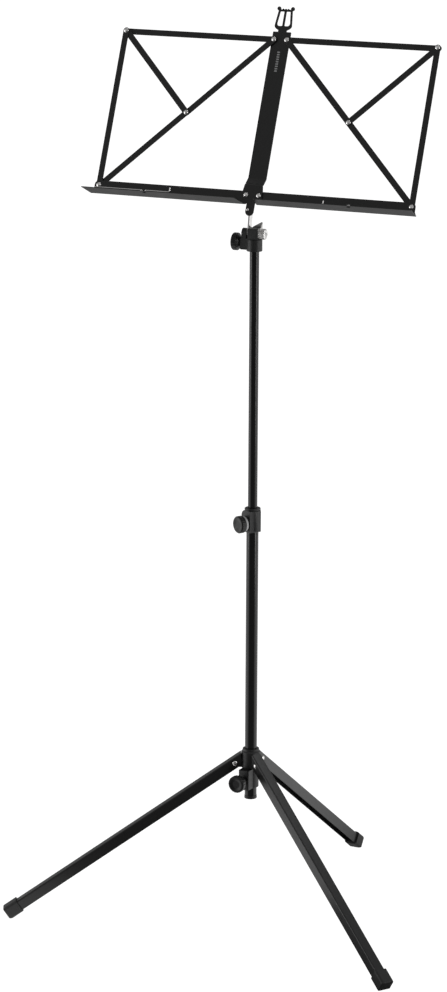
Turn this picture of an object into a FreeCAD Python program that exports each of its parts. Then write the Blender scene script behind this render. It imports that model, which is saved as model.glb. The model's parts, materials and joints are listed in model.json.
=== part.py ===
import FreeCAD, Part
import math
import os

# Folding music stand.  Millimetres and degrees.
# X runs along the width of the desk to the reader's right, Y runs away from the reader, Z is up.
# The origin lies on the floor, on the axis of the column.

# ---- fits and gaps ----
SLIDE_FIT = 0.06            # radial clearance of a sleeve or bush on a sliding tube
PIN_FIT = 0.06              # radial clearance of a turning piece on its rivet, bolt or stud
FACE_GAP = 0.2              # gap between flat pieces that turn past each other
BEND_CLEARANCE = 0.3        # gap between a rounded lug and the channel that swings round it
STOP_GAP = 0.3              # gap left at a stop and at the tip of a clamping screw

# ---- tripod ----
LEG_LENGTH = 408.0          # leg pivot to the middle of the foot cap
LEG_SLOPE = 34.6            # below the horizontal when spread
LEG_PIVOT_RADIUS = 24.0     # column axis to leg pivot
LEG_AZIMUTHS = {"rear": 84.3, "left": 204.3, "right": 324.3}
CHANNEL_WIDTH = 16.0
CHANNEL_HEIGHT = 16.0
CHANNEL_WALL = 1.3
CHANNEL_BEND = 2.2          # outer bend radius of the folded steel
LEG_RIVET_RADIUS = 2.5
RIVET_HEAD_RADIUS = 3.75
RIVET_HEAD_HEIGHT = 1.7
FOOT_SIDE = 21.0            # square section of the foot cap
FOOT_LENGTH = 24.0
FOOT_ROUND = 4.0
FOOT_FLAT_DEPTH = 2.7       # how much of the lower corner the floor facet takes off
FOOT_GRIP = 15.0            # how far the cap reaches over the channel

# ---- hub ----
HUB_RADIUS = 14.5
HUB_RING_RADIUS = 12.4
HUB_TOP_RISE = 22.0         # top of the ring above the leg pivots
HUB_RING_HEIGHT = 3.0
HUB_BODY_DROP = 8.0         # underside of the body below the leg pivots
CLAMP_BLOCK_DROP = 38.0     # underside of the clamp block below the leg pivots
CLAMP_BLOCK_HALF_WIDTH = 8.5
CLAMP_BLOCK_REACH = 24.0    # front face from the column axis
CLAMP_AZIMUTH = LEG_AZIMUTHS["rear"] + 180.0
HUB_SLEEVE_WALL = 3.0

# ---- column ----
LOWER_TUBE_RADIUS = 9.0
LOWER_TUBE_LENGTH = 428.0
TUBE_WALL = 1.2
COLUMN_TAIL = 52.0          # lower end of the column below the leg pivots
TUBE_CAP_FLARE = 0.6
TUBE_CAP_LIP = 5.0
TUBE_CAP_PLUG = 12.0
UPPER_TUBE_RADIUS = 7.0
UPPER_TUBE_LENGTH = 457.0
UPPER_TUBE_EXTENSION = 422.0  # upper tube standing out of the lower one
GUIDE_LENGTH = 22.0

# ---- column clamp ----
YOKE_AZIMUTH = 236.8
YOKE_HALF_WIDTH = 11.0
YOKE_FRONT = 12.4
YOKE_BACK = 7.5
YOKE_BELOW = 17.0           # below the end of the lower tube
YOKE_ABOVE = 16.0           # above the end of the lower tube
YOKE_SHOULDER = 9.0         # rounded upper corner of the yoke
COLLAR_RADIUS = 12.0
COLLAR_HEIGHT = 3.0
COLLAR_GRIP = 6.0           # how deep the collar sits in the yoke
YOKE_KNOB_DROP = 4.0        # knob axis below the end of the lower tube

# ---- knobs ----
KNOB_RADIUS = 13.0
KNOB_THICKNESS = 8.5
KNOB_FLUTES = 18
KNOB_FLUTE_DEPTH = 0.35
KNOB_SKIRT_RADIUS = 10.5
KNOB_DISH = 1.4
HUB_KNOB_GAP = 16.0         # front of the clamp to the rim of the knob
YOKE_KNOB_GAP = 6.3
HEAD_KNOB_GAP = 5.0
SCREW_RADIUS = 3.0
NUT_SIDE = 10.0
NUT_THICKNESS = 4.0

# ---- tilting head ----
HEAD_SLEEVE_RADIUS = 11.6
HEAD_SLEEVE_DROP = 17.0     # below the end of the upper tube
TILT_AXIS_RISE = 8.5        # tilt axis above the end of the upper tube
TONGUE_X = -9.3
TONGUE_THICKNESS = 2.0
TONGUE_END_RADIUS = 6.0
EAR_THICKNESS = 7.5
EAR_RADIUS = 7.5
BLOCK_RIGHT = 7.5
BLOCK_HALF_DEPTH = 8.6
BLOCK_TOP_RISE = 8.0        # above the tilt axis
LUG_REACH = 20.0            # screw lug to the left of the axis
LUG_HALF_DEPTH = 8.0
HEAD_SCREW_DROP = 5.0       # head knob axis below the end of the upper tube
BRACKET_THICKNESS = 1.5
BRACKET_RISE = 17.0         # high end of the bracket above the tilt axis
BRACKET_LOW = 8.5           # low end of the bracket above the tilt axis
TILT_BOLT_RADIUS = 3.0
TILT_NUT_RADIUS = 8.0
TILT_NUT_LENGTH = 9.0
TILT_NUT_TEETH = 20
TILT_NUT_TOOTH = 0.8

# ---- desk ----
DESK_RECLINE = 24.67
DESK_HEIGHT = 240.0         # lower rivet line to upper rivet line
WING_LENGTH = 236.0         # spine rivet to corner rivet
SPINE_RIVET_X = 10.0
RIVET_LINE_RISE = 54.1      # lower rivet line above the tilt axis, along the desk
SPINE_FACE = 2.7            # front of the upper spine plate in front of the tilt axis
SPINE_THICKNESS = 1.5
SPINE_HALF_WIDTH = 14.3
SPINE_FOOT_HALF_WIDTH = 15.6
SPINE_TOP = 12.5            # above the upper rivet line
JOGGLE_START = 15.0
JOGGLE_END = 28.0
TAB_HALF_WIDTH = 6.5
TAB_DROP = 31.0
BAR_WIDTH = 9.2
BAR_THICKNESS = 1.0
DESK_RIVET_RADIUS = 2.0
DESK_RIVET_HEAD = 1.75      # head radius as a multiple of the shank radius
DESK_RIVET_DOME = 1.3
DESK_RIVET_BACK = 1.0
TAB_RIVET_RADIUS = 1.15
TAB_RIVET_X = -3.2
TAB_RIVET_RISE = 9.0        # above the end of the tab

# ---- trays ----
FLANGE_ABOVE = 6.4
FLANGE_BELOW = 14.0
LEDGE_DEPTH = 33.0
LEDGE_OVERHANG = 9.5        # outer end of the ledge beyond the corner rivet
LEDGE_FLARE = 3.0
LEDGE_INNER = -1.0          # inner end at the bend, outward of the spine rivet
LEDGE_INNER_SLANT = 6.0
TRAY_BEND = 2.0

# ---- page retainers ----
WIRE_RADIUS = 0.9
WIRE_BEND = 2.4
LONG_ARM = 78.0
SHORT_ARM = 42.0
HOOK_HEIGHT = 7.0
RETAINER_INSET = 86.0       # stud to corner rivet
STUD_SETBACK = 8.5          # stud behind the front edge of the ledge
STUD_RADIUS = 1.6
STUD_HEAD_RADIUS = 2.8
STUD_HEAD_HEIGHT = 1.2
WIRE_JOG = 6.0              # arms of the wire to the side of the stud

# ---- derived places ----
slope = math.radians(LEG_SLOPE)
foot_end = LEG_LENGTH + FOOT_LENGTH / 2
pivot_z = foot_end * math.sin(slope) + FOOT_SIDE / 2 * math.cos(slope) - FOOT_FLAT_DEPTH
lug_half = CHANNEL_WIDTH / 2 - CHANNEL_WALL - BEND_CLEARANCE
lug_radius = CHANNEL_HEIGHT / 2 - CHANNEL_WALL - BEND_CLEARANCE
hub_top_z = pivot_z + HUB_TOP_RISE
hub_body_z = pivot_z - HUB_BODY_DROP
block_z = pivot_z - CLAMP_BLOCK_DROP
hub_knob_z = (block_z + hub_body_z) / 2
column_z = pivot_z - COLUMN_TAIL
lower_top_z = column_z + LOWER_TUBE_LENGTH
upper_top_z = lower_top_z + UPPER_TUBE_EXTENSION
upper_bottom_z = upper_top_z - UPPER_TUBE_LENGTH
yoke_knob_z = lower_top_z - YOKE_KNOB_DROP
tilt_z = upper_top_z + TILT_AXIS_RISE
head_screw_z = upper_top_z - HEAD_SCREW_DROP
layer_pitch = BAR_THICKNESS + FACE_GAP
tray_layer = 6
foot_plate_back = SPINE_FACE + tray_layer * layer_pitch + FACE_GAP
foot_plate_front = foot_plate_back + SPINE_THICKNESS
ledge_front = foot_plate_back - FACE_GAP + LEDGE_DEPTH
tab_rivet_y = RIVET_LINE_RISE - TAB_DROP + TAB_RIVET_RISE


# ---- shape helpers ----
def vec(x, y, z=0.0):
    return FreeCAD.Vector(x, y, z)


def rounded_wire(corners):
    """Closed outline in the XY plane from corners (x, y, radius), round corners as arcs."""
    ends = []
    for index, (x, y, radius) in enumerate(corners):
        here = vec(x, y)
        if radius <= 0:
            ends.append((here, None, here))
            continue
        previous = corners[index - 1]
        following = corners[(index + 1) % len(corners)]
        back = (vec(previous[0], previous[1]) - here).normalize()
        ahead = (vec(following[0], following[1]) - here).normalize()
        half = back.getAngle(ahead) / 2
        setback = radius / math.tan(half)
        bisector = (back + ahead).normalize()
        middle = here + bisector * (radius / math.sin(half) - radius)
        ends.append((here + back * setback, middle, here + ahead * setback))
    edges = []
    for index, (start, middle, finish) in enumerate(ends):
        if middle is not None:
            edges.append(Part.Arc(start, middle, finish).toShape())
        onward = ends[(index + 1) % len(ends)][0]
        if (onward - finish).Length > 1e-6:
            edges.append(Part.makeLine(finish, onward))
    return Part.Wire(edges)


def plate(corners, low, high):
    """Flat plate with the given outline between two heights."""
    face = Part.Face(rounded_wire(corners))
    solid = face.extrude(vec(0, 0, high - low))
    solid.translate(vec(0, 0, low))
    return solid


def turned(corners):
    """Solid of revolution about Z from an outline of (radius, height, corner radius)."""
    face = Part.Face(rounded_wire(corners))
    face.rotate(vec(0, 0), vec(1, 0), 90)
    return face.revolve(vec(0, 0), vec(0, 0, 1), 360)


def disc(radius, low, high, x=0.0, y=0.0):
    return Part.makeCylinder(radius, high - low, vec(x, y, low))


def ring(outer, inner, low, high):
    return disc(outer, low, high).cut(disc(inner, low, high))


def block(x0, x1, y0, y1, z0, z1):
    return Part.makeBox(x1 - x0, y1 - y0, z1 - z0, vec(x0, y0, z0))


def rod(radius, start, finish):
    """Round bar between two points."""
    along = finish - start
    return Part.makeCylinder(radius, along.Length, start, along)


def swung(shape, azimuth):
    """The shape turned about the axis of the column."""
    return shape.rotated(vec(0, 0), vec(0, 0, 1), azimuth)


def framed(shape, origin, x_axis, y_axis):
    """The shape carried from its own XYZ frame to a frame given by its origin and axes."""
    z_axis = x_axis.cross(y_axis)
    rotation = FreeCAD.Rotation(x_axis, y_axis, z_axis, "XYZ")
    return shape.transformed(FreeCAD.Placement(origin, rotation).toMatrix())


def radial(shape, azimuth, height):
    """The shape, made along its own Z, laid outward from the column axis at a height."""
    angle = math.radians(azimuth)
    sideways = vec(-math.sin(angle), math.cos(angle))
    return framed(shape, vec(0, 0, height), sideways, vec(0, 0, 1))


def tube_through(points, radius, bend):
    """Round wire along straight runs joined by tangent arcs."""
    count = len(points)
    edges = []
    start = points[0]
    for index in range(1, count - 1):
        here = points[index]
        back = (points[index - 1] - here).normalize()
        ahead = (points[index + 1] - here).normalize()
        half = back.getAngle(ahead) / 2
        setback = bend / math.tan(half)
        middle = here + (back + ahead).normalize() * (bend / math.sin(half) - bend)
        edges.append(Part.makeLine(start, here + back * setback))
        edges.append(Part.Arc(here + back * setback, middle, here + ahead * setback).toShape())
        start = here + ahead * setback
    edges.append(Part.makeLine(start, points[-1]))
    spine = Part.Wire(edges)
    section = Part.Wire([Part.makeCircle(radius, points[0], points[1] - points[0])])
    return spine.makePipeShell([section], True, True)


# ---- tripod ----
def leg_frame(shape, azimuth):
    """From leg coordinates (X down the leg, Z square to its top) to the stand."""
    tilt = FreeCAD.Rotation(vec(0, 1, 0), LEG_SLOPE)
    pivot = vec(LEG_PIVOT_RADIUS, 0, pivot_z)
    tilted = shape.transformed(FreeCAD.Placement(pivot, tilt).toMatrix())
    return swung(tilted, azimuth)


def channel_section(growth):
    """Inverted U, open underneath; growth widens it on every side for a socket."""
    half = CHANNEL_WIDTH / 2 + growth
    top = CHANNEL_HEIGHT / 2 + growth
    inner = CHANNEL_WIDTH / 2 - CHANNEL_WALL - growth
    roof = CHANNEL_HEIGHT / 2 - CHANNEL_WALL - growth
    inner_bend = CHANNEL_BEND - CHANNEL_WALL
    return [
        (-half, -top, 0), (-inner, -top, 0), (-inner, roof, inner_bend), (inner, roof, inner_bend),
        (inner, -top, 0), (half, -top, 0), (half, top, CHANNEL_BEND), (-half, top, CHANNEL_BEND),
    ]


def channel(start, finish, growth=0.0):
    """Folded steel channel along X."""
    bar = plate(channel_section(growth), start, finish)
    return framed(bar, vec(0, 0), vec(0, 1, 0), vec(0, 0, 1))


def leg_channel(azimuth):
    """One leg: its inner end is cut upright, so that it lands on the hub when spread."""
    inner_end = -(LEG_PIVOT_RADIUS - HUB_RADIUS) / math.cos(slope) - CHANNEL_HEIGHT
    steel = channel(inner_end, LEG_LENGTH - FOOT_LENGTH / 2 + FOOT_GRIP)
    bore = rod(LEG_RIVET_RADIUS + PIN_FIT, vec(0, -CHANNEL_WIDTH), vec(0, CHANNEL_WIDTH))
    spread = leg_frame(steel.cut(bore), 0)
    landing = HUB_RADIUS + STOP_GAP
    reach = CHANNEL_WIDTH * 3
    trimmed = spread.cut(block(-reach, landing, -reach, reach, pivot_z - reach, pivot_z + reach))
    return swung(trimmed, azimuth)


def foot_cap(azimuth):
    """Moulded cap over the end of a leg, with a flat facet on the floor."""
    half = FOOT_SIDE / 2
    body = plate([
        (-half, -half, FOOT_ROUND), (half, -half, FOOT_ROUND),
        (half, half, FOOT_ROUND), (-half, half, FOOT_ROUND),
    ], 0, FOOT_LENGTH)
    end_edges = [edge for edge in body.Edges if abs(edge.CenterOfMass.z - FOOT_LENGTH) < 1e-6]
    body = body.makeFillet(FOOT_ROUND / 2, end_edges)
    body = framed(body, vec(LEG_LENGTH - FOOT_LENGTH / 2, 0, 0), vec(0, 1, 0), vec(0, 0, 1))
    socket = channel(LEG_LENGTH - FOOT_LENGTH, LEG_LENGTH - FOOT_LENGTH / 2 + FOOT_GRIP, PIN_FIT)
    cap = leg_frame(body.cut(socket), azimuth)
    reach = LEG_LENGTH + FOOT_LENGTH * 2
    return cap.cut(block(-reach, reach, -reach, reach, -FOOT_SIDE, 0))


def leg_rivet(azimuth):
    """Rivet through the hub lug and both flanges of a leg, with a dome at each end."""
    reach = CHANNEL_WIDTH / 2 + FACE_GAP
    rivet = turned([
        (0, -reach - RIVET_HEAD_HEIGHT, 0), (RIVET_HEAD_RADIUS * 0.9, -reach - RIVET_HEAD_HEIGHT, 1.2),
        (RIVET_HEAD_RADIUS, -reach, 0), (LEG_RIVET_RADIUS, -reach, 0),
        (LEG_RIVET_RADIUS, reach, 0), (RIVET_HEAD_RADIUS, reach, 0),
        (RIVET_HEAD_RADIUS * 0.9, reach + RIVET_HEAD_HEIGHT, 1.2), (0, reach + RIVET_HEAD_HEIGHT, 0),
    ])
    return leg_frame(framed(rivet, vec(0, 0), vec(0, 0, 1), vec(1, 0, 0)), azimuth)


# ---- hub ----
def hub_casting():
    """Sliding hub: round body with three leg lugs and a clamp block below."""
    shoulder = hub_top_z - HUB_RING_HEIGHT
    body = turned([
        (0, hub_body_z, 0), (HUB_RADIUS, hub_body_z, 1.0), (HUB_RADIUS, shoulder - 2.0, 0.8),
        (HUB_RING_RADIUS, shoulder, 0), (HUB_RING_RADIUS, hub_top_z, 0.8), (0, hub_top_z, 0),
    ])
    for azimuth in LEG_AZIMUTHS.values():
        web = block(0, LEG_PIVOT_RADIUS, -lug_half, lug_half, pivot_z - lug_radius, pivot_z + lug_radius)
        start = vec(LEG_PIVOT_RADIUS, -lug_half, pivot_z)
        finish = vec(LEG_PIVOT_RADIUS, lug_half, pivot_z)
        lug = web.fuse(rod(lug_radius, start, finish)).cut(rod(LEG_RIVET_RADIUS, start, finish))
        body = body.fuse(swung(lug, azimuth))
    sleeve = disc(LOWER_TUBE_RADIUS + HUB_SLEEVE_WALL, block_z, hub_body_z)
    half = CLAMP_BLOCK_HALF_WIDTH
    lug_block = plate([
        (0, -half, 0), (CLAMP_BLOCK_REACH, -half, 2.0), (CLAMP_BLOCK_REACH, half, 2.0), (0, half, 0),
    ], block_z, hub_body_z)
    body = body.fuse([sleeve, swung(lug_block, CLAMP_AZIMUTH)])
    body = body.cut(disc(LOWER_TUBE_RADIUS + SLIDE_FIT, block_z, hub_top_z))
    body = body.cut(radial(disc(SCREW_RADIUS + PIN_FIT, 0, CLAMP_BLOCK_REACH), CLAMP_AZIMUTH, hub_knob_z))
    pocket = radial(nut_prism(CLAMP_BLOCK_REACH), CLAMP_AZIMUTH, hub_knob_z)
    return body.cut(pocket).removeSplitter()


def nut_prism(front):
    """Outline of the square nut let into a clamp, made along Z just behind the front face."""
    half = NUT_SIDE / 2
    return block(-half, half, -half, half, front - NUT_THICKNESS * 2, front - NUT_THICKNESS)


# ---- knobs and screws, made along Z with Z = 0 on the axis of the tube that they clamp ----
def knob_grip(front, stand_off):
    """Fluted round knob with a dished face and a skirt towards the clamp."""
    start = front + FACE_GAP
    rim = front + stand_off
    face = rim + KNOB_THICKNESS
    grip = turned([
        (0, start, 0), (SCREW_RADIUS * 2, start, 0.5), (KNOB_SKIRT_RADIUS, rim, 0), (KNOB_RADIUS, rim, 1.0),
        (KNOB_RADIUS, face, 1.6), (KNOB_RADIUS * 0.8, face, 0.8), (KNOB_RADIUS * 0.55, face - KNOB_DISH, 1.0),
        (0, face - KNOB_DISH, 0),
    ])
    flute_radius = KNOB_FLUTE_DEPTH * 3
    for index in range(KNOB_FLUTES):
        angle = 2 * math.pi * index / KNOB_FLUTES
        distance = KNOB_RADIUS + flute_radius - KNOB_FLUTE_DEPTH
        across = distance * math.cos(angle)
        along = distance * math.sin(angle)
        grip = grip.cut(disc(flute_radius, rim - 1, face + 1, across, along))
    return grip.cut(disc(SCREW_RADIUS, start, rim + KNOB_THICKNESS / 2))


def knob_screw(tube_radius, front, stand_off):
    """Clamping screw moulded into a knob; its tip stops short of the tube."""
    tip = tube_radius + STOP_GAP
    return disc(SCREW_RADIUS, tip, front + stand_off + KNOB_THICKNESS / 2)


# ---- column ----
def lower_tube():
    """Lower tube, drilled near its top for the screw that clamps the upper tube."""
    tube = ring(LOWER_TUBE_RADIUS, LOWER_TUBE_RADIUS - TUBE_WALL, column_z, lower_top_z)
    return tube.cut(radial(disc(SCREW_RADIUS + PIN_FIT, 0, YOKE_FRONT), YOKE_AZIMUTH, yoke_knob_z))


def lower_tube_cap():
    """Plastic plug with a flared lip that closes the foot of the column."""
    bore = LOWER_TUBE_RADIUS - TUBE_WALL
    lip = LOWER_TUBE_RADIUS + TUBE_CAP_FLARE
    return turned([
        (0, column_z - TUBE_CAP_LIP, 0), (lip, column_z - TUBE_CAP_LIP, 1.2),
        (lip - TUBE_CAP_FLARE / 2, column_z, 0), (bore, column_z, 0),
        (bore, column_z + TUBE_CAP_PLUG, 1.0), (0, column_z + TUBE_CAP_PLUG, 0),
    ])


def upper_tube():
    return ring(UPPER_TUBE_RADIUS, UPPER_TUBE_RADIUS - TUBE_WALL, upper_bottom_z, upper_top_z)


def upper_tube_guide():
    """Thin sleeve on the lower end of the upper tube, a sliding fit in the lower tube."""
    outer = LOWER_TUBE_RADIUS - TUBE_WALL - SLIDE_FIT
    return ring(outer, UPPER_TUBE_RADIUS, upper_bottom_z, upper_bottom_z + GUIDE_LENGTH)


def clamp_yoke():
    """Moulded yoke fixed on the lower tube, with the clamping screw through its front."""
    low = lower_top_z - YOKE_BELOW
    high = lower_top_z + YOKE_ABOVE
    half = YOKE_HALF_WIDTH
    outline = [(-half, low, 1.0), (half, low, 1.0), (half, high, 1.5), (-half, high, YOKE_SHOULDER)]
    slab = plate(outline, -YOKE_BACK, YOKE_FRONT)
    body = framed(slab, vec(0, 0), vec(0, 1, 0), vec(0, 0, 1))
    body = body.fuse(disc(COLLAR_RADIUS, low + 2, high - 1))
    body = swung(body, YOKE_AZIMUTH)
    body = body.cut(disc(LOWER_TUBE_RADIUS, low, lower_top_z))
    body = body.cut(disc(UPPER_TUBE_RADIUS + SLIDE_FIT, lower_top_z, high))
    body = body.cut(disc(COLLAR_RADIUS - 2, high - COLLAR_GRIP, high))
    bore = disc(SCREW_RADIUS + PIN_FIT, 0, YOKE_FRONT)
    return body.cut(radial(bore, YOKE_AZIMUTH, yoke_knob_z)).removeSplitter()


def clamp_collar():
    """Round gland ring that guides the upper tube in the top of the yoke."""
    high = lower_top_z + YOKE_ABOVE
    bore = UPPER_TUBE_RADIUS + SLIDE_FIT
    return turned([
        (bore, high - COLLAR_GRIP, 0), (COLLAR_RADIUS - 2, high - COLLAR_GRIP, 0),
        (COLLAR_RADIUS - 2, high, 0),
        (COLLAR_RADIUS, high, 0.5), (COLLAR_RADIUS, high + COLLAR_HEIGHT, COLLAR_HEIGHT / 2),
        (bore, high + COLLAR_HEIGHT, 0.5),
    ])


# ---- tilting head ----
def head_body():
    """Moulded head: sleeve on the upper tube, screw lug, and a slotted block for the tongue."""
    low = upper_top_z - HEAD_SLEEVE_DROP
    seat = tilt_z - TONGUE_END_RADIUS - 1.0
    slot_left = TONGUE_X - TONGUE_THICKNESS / 2 - FACE_GAP
    slot_right = TONGUE_X + TONGUE_THICKNESS / 2 + FACE_GAP
    sleeve = disc(HEAD_SLEEVE_RADIUS, low, upper_top_z)
    lug = plate([
        (-LUG_REACH, low + 2, 2.0), (0, low + 2, 0), (0, seat, 0), (-LUG_REACH, seat, 2.0),
    ], -LUG_HALF_DEPTH, LUG_HALF_DEPTH)
    lug = framed(lug, vec(0, 0), vec(1, 0), vec(0, 0, 1))
    tower = plate([
        (-BLOCK_HALF_DEPTH, upper_top_z - 1.0, 0), (BLOCK_HALF_DEPTH, upper_top_z - 1.0, 0),
        (BLOCK_HALF_DEPTH, tilt_z + BLOCK_TOP_RISE, 2.5), (-BLOCK_HALF_DEPTH, tilt_z + BLOCK_TOP_RISE, 2.5),
    ], slot_right, BLOCK_RIGHT)
    tower = framed(tower, vec(0, 0), vec(0, 1, 0), vec(0, 0, 1))
    ear_left = slot_left - EAR_THICKNESS
    ear_round = rod(EAR_RADIUS, vec(ear_left, 0, tilt_z), vec(slot_left, 0, tilt_z))
    ear_root = block(ear_left, slot_left, -EAR_RADIUS, EAR_RADIUS, seat - 2, tilt_z)
    body = sleeve.fuse([lug, tower, ear_round, ear_root])
    body = body.cut(disc(UPPER_TUBE_RADIUS + SLIDE_FIT, low, upper_top_z))
    body = body.cut(rod(TILT_BOLT_RADIUS, vec(-LUG_REACH, 0, tilt_z), vec(LUG_REACH, 0, tilt_z)))
    body = body.cut(radial(disc(SCREW_RADIUS + PIN_FIT, 0, LUG_REACH), 180, head_screw_z))
    return body.cut(radial(nut_prism(LUG_REACH), 180, head_screw_z)).removeSplitter()


def head_bracket():
    """Plated angle behind the block; its right cheek seats the tilt nut."""
    low = tilt_z - TONGUE_END_RADIUS
    left = TONGUE_X + TONGUE_THICKNESS / 2 + 2.0
    right = BLOCK_RIGHT + BRACKET_THICKNESS
    back = BLOCK_HALF_DEPTH + BRACKET_THICKNESS
    wall = plate([
        (left, low, 0.5), (right, low, 0.5),
        (right, tilt_z + BRACKET_RISE, 1.5), (left, tilt_z + BRACKET_LOW, 1.0),
    ], -back, -BLOCK_HALF_DEPTH)
    wall = framed(wall, vec(0, 0), vec(1, 0), vec(0, 0, 1))
    cheek = plate([
        (-EAR_RADIUS, low, 2.0), (back, low, 0.5), (back, tilt_z + BRACKET_RISE, 1.5),
        (EAR_RADIUS * 0.6, tilt_z + BLOCK_TOP_RISE, 2.0), (-EAR_RADIUS, tilt_z + BLOCK_TOP_RISE, 4.0),
    ], BLOCK_RIGHT, right)
    cheek = framed(cheek, vec(0, 0), vec(0, 1, 0), vec(0, 0, 1))
    bolt_hole = rod(TILT_BOLT_RADIUS, vec(0, 0, tilt_z), vec(LUG_REACH, 0, tilt_z))
    return wall.fuse(cheek).cut(bolt_hole).removeSplitter()


def tilt_bolt():
    """Bolt along X through ear, tongue, block and bracket, with a low head on the left."""
    left = TONGUE_X - TONGUE_THICKNESS / 2 - FACE_GAP - EAR_THICKNESS
    right = BLOCK_RIGHT + BRACKET_THICKNESS + TILT_NUT_LENGTH
    bolt = turned([
        (0, left - 1.5, 0), (TILT_BOLT_RADIUS * 1.6, left - 1.5, 1.0), (TILT_BOLT_RADIUS * 1.6, left, 0),
        (TILT_BOLT_RADIUS, left, 0), (TILT_BOLT_RADIUS, right, 0.6), (0, right, 0),
    ])
    return framed(bolt, vec(0, 0, tilt_z), vec(0, 1, 0), vec(0, 0, 1))


def tilt_nut():
    """Toothed nut that sets the tilt friction."""
    start = BLOCK_RIGHT + BRACKET_THICKNESS
    corners = []
    for index in range(TILT_NUT_TEETH * 2):
        angle = math.pi * index / TILT_NUT_TEETH
        radius = TILT_NUT_RADIUS - (index % 2) * TILT_NUT_TOOTH
        corners.append((radius * math.cos(angle), radius * math.sin(angle), 0))
    nut = plate(corners, start, start + TILT_NUT_LENGTH)
    nut = nut.common(turned([
        (0, start, 0), (TILT_NUT_RADIUS - 1.0, start, 0), (TILT_NUT_RADIUS, start + 1.0, 0),
        (TILT_NUT_RADIUS, start + TILT_NUT_LENGTH - 1.0, 0),
        (TILT_NUT_RADIUS - 1.5, start + TILT_NUT_LENGTH, 0),
        (0, start + TILT_NUT_LENGTH, 0),
    ]))
    nut = nut.cut(disc(TILT_BOLT_RADIUS, start, start + TILT_NUT_LENGTH))
    return framed(nut, vec(0, 0, tilt_z), vec(0, 1, 0), vec(0, 0, 1))


# ---- desk, made in its own frame: X across, Y up the desk from the tilt axis, Z towards the reader ----
def on_desk(shape):
    recline = math.radians(DESK_RECLINE)
    up_desk = vec(0, math.sin(recline), math.cos(recline))
    return framed(shape, vec(TONGUE_X, 0, tilt_z), vec(1, 0, 0), up_desk)


def layer(number):
    """Back face of a bar layer; layer 1 lies against the upper spine plate."""
    return SPINE_FACE + FACE_GAP + (number - 1) * layer_pitch


def desk_spine():
    """Stamped spine with a plain lyre on top and a joggle that brings its foot in front of the trays."""
    low = RIVET_LINE_RISE
    top = low + DESK_HEIGHT + SPINE_TOP
    wide = SPINE_HALF_WIDTH
    foot = SPINE_FOOT_HALF_WIDTH
    right_side = [
        (TAB_HALF_WIDTH, low - TAB_DROP, TAB_HALF_WIDTH - 0.01),
        (TAB_HALF_WIDTH, low - FLANGE_BELOW + 2, 2.0),
        (foot, low - 5.0, 3.0), (foot, low + 7.0, 4.0), (wide, low + JOGGLE_START, 4.0), (wide, top, 1.0),
    ]
    left_side = [(-x, y, radius) for x, y, radius in reversed(right_side)]
    outline = plate(right_side + left_side, 0, foot_plate_front * 2)
    back_face = SPINE_FACE - SPINE_THICKNESS
    profile = [
        (foot_plate_back, low - TAB_DROP, 0), (foot_plate_front, low - TAB_DROP, 0),
        (foot_plate_front, low + JOGGLE_START, 3.0), (SPINE_FACE, low + JOGGLE_END, 3.0),
        (SPINE_FACE, top, 0),
        (back_face, top, 0), (back_face, low + JOGGLE_END - 1.0, 3.0),
        (foot_plate_back, low + JOGGLE_START - 1.0, 3.0),
    ]
    sheet = framed(plate(profile, -foot, foot), vec(0, 0), vec(0, 0, 1), vec(0, 1, 0))
    spine = sheet.common(outline)
    spine = spine.fuse(lyre(top, back_face, SPINE_FACE))
    slot_start = SPINE_RIVET_X - FLANGE_ABOVE - 2 * FACE_GAP
    for side in (-1, 1):
        ends = sorted((side * slot_start, side * foot * 2))
        slot = block(ends[0], ends[1], low + FLANGE_ABOVE, low + JOGGLE_END + 4,
                     layer(tray_layer) - BEND_CLEARANCE, foot_plate_back)
        spine = spine.cut(slot)
        for height in (low, low + DESK_HEIGHT):
            spine = spine.cut(disc(DESK_RIVET_RADIUS, 0, foot_plate_front, side * SPINE_RIVET_X, height))
    return spine.cut(disc(TAB_RIVET_RADIUS, 0, foot_plate_front, TAB_RIVET_X, tab_rivet_y)).removeSplitter()


def lyre(base, low, high):
    """Plain lyre: a neck, two curved arms, a middle bar, a cross bar and two end balls."""
    right_outer = [
        (6.7, base - 1.0, 0), (6.7, base + 2.5, 1.5), (14.0, base + 6.5, 6.0), (10.8, base + 34.5, 1.0),
    ]
    left_outer = [(-x, y, radius) for x, y, radius in reversed(right_outer)]
    shape = plate(right_outer + left_outer, low, high)
    for side in (-1, 1):
        window = [(side * 1.7, base + 9.0, 1.2), (side * 10.6, base + 9.0, 4.0), (side * 7.9, base + 31.5, 1.0),
                  (side * 1.7, base + 31.5, 1.0)]
        shape = shape.cut(plate(window, low, high))
        shape = shape.fuse(disc(3.0, low, high, side * 10.8, base + 35.8))
    for x in (-4.0, 0.0, 4.0):
        shape = shape.fuse(disc(1.3, low, high, x, base + 34.5))
    return shape


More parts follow.
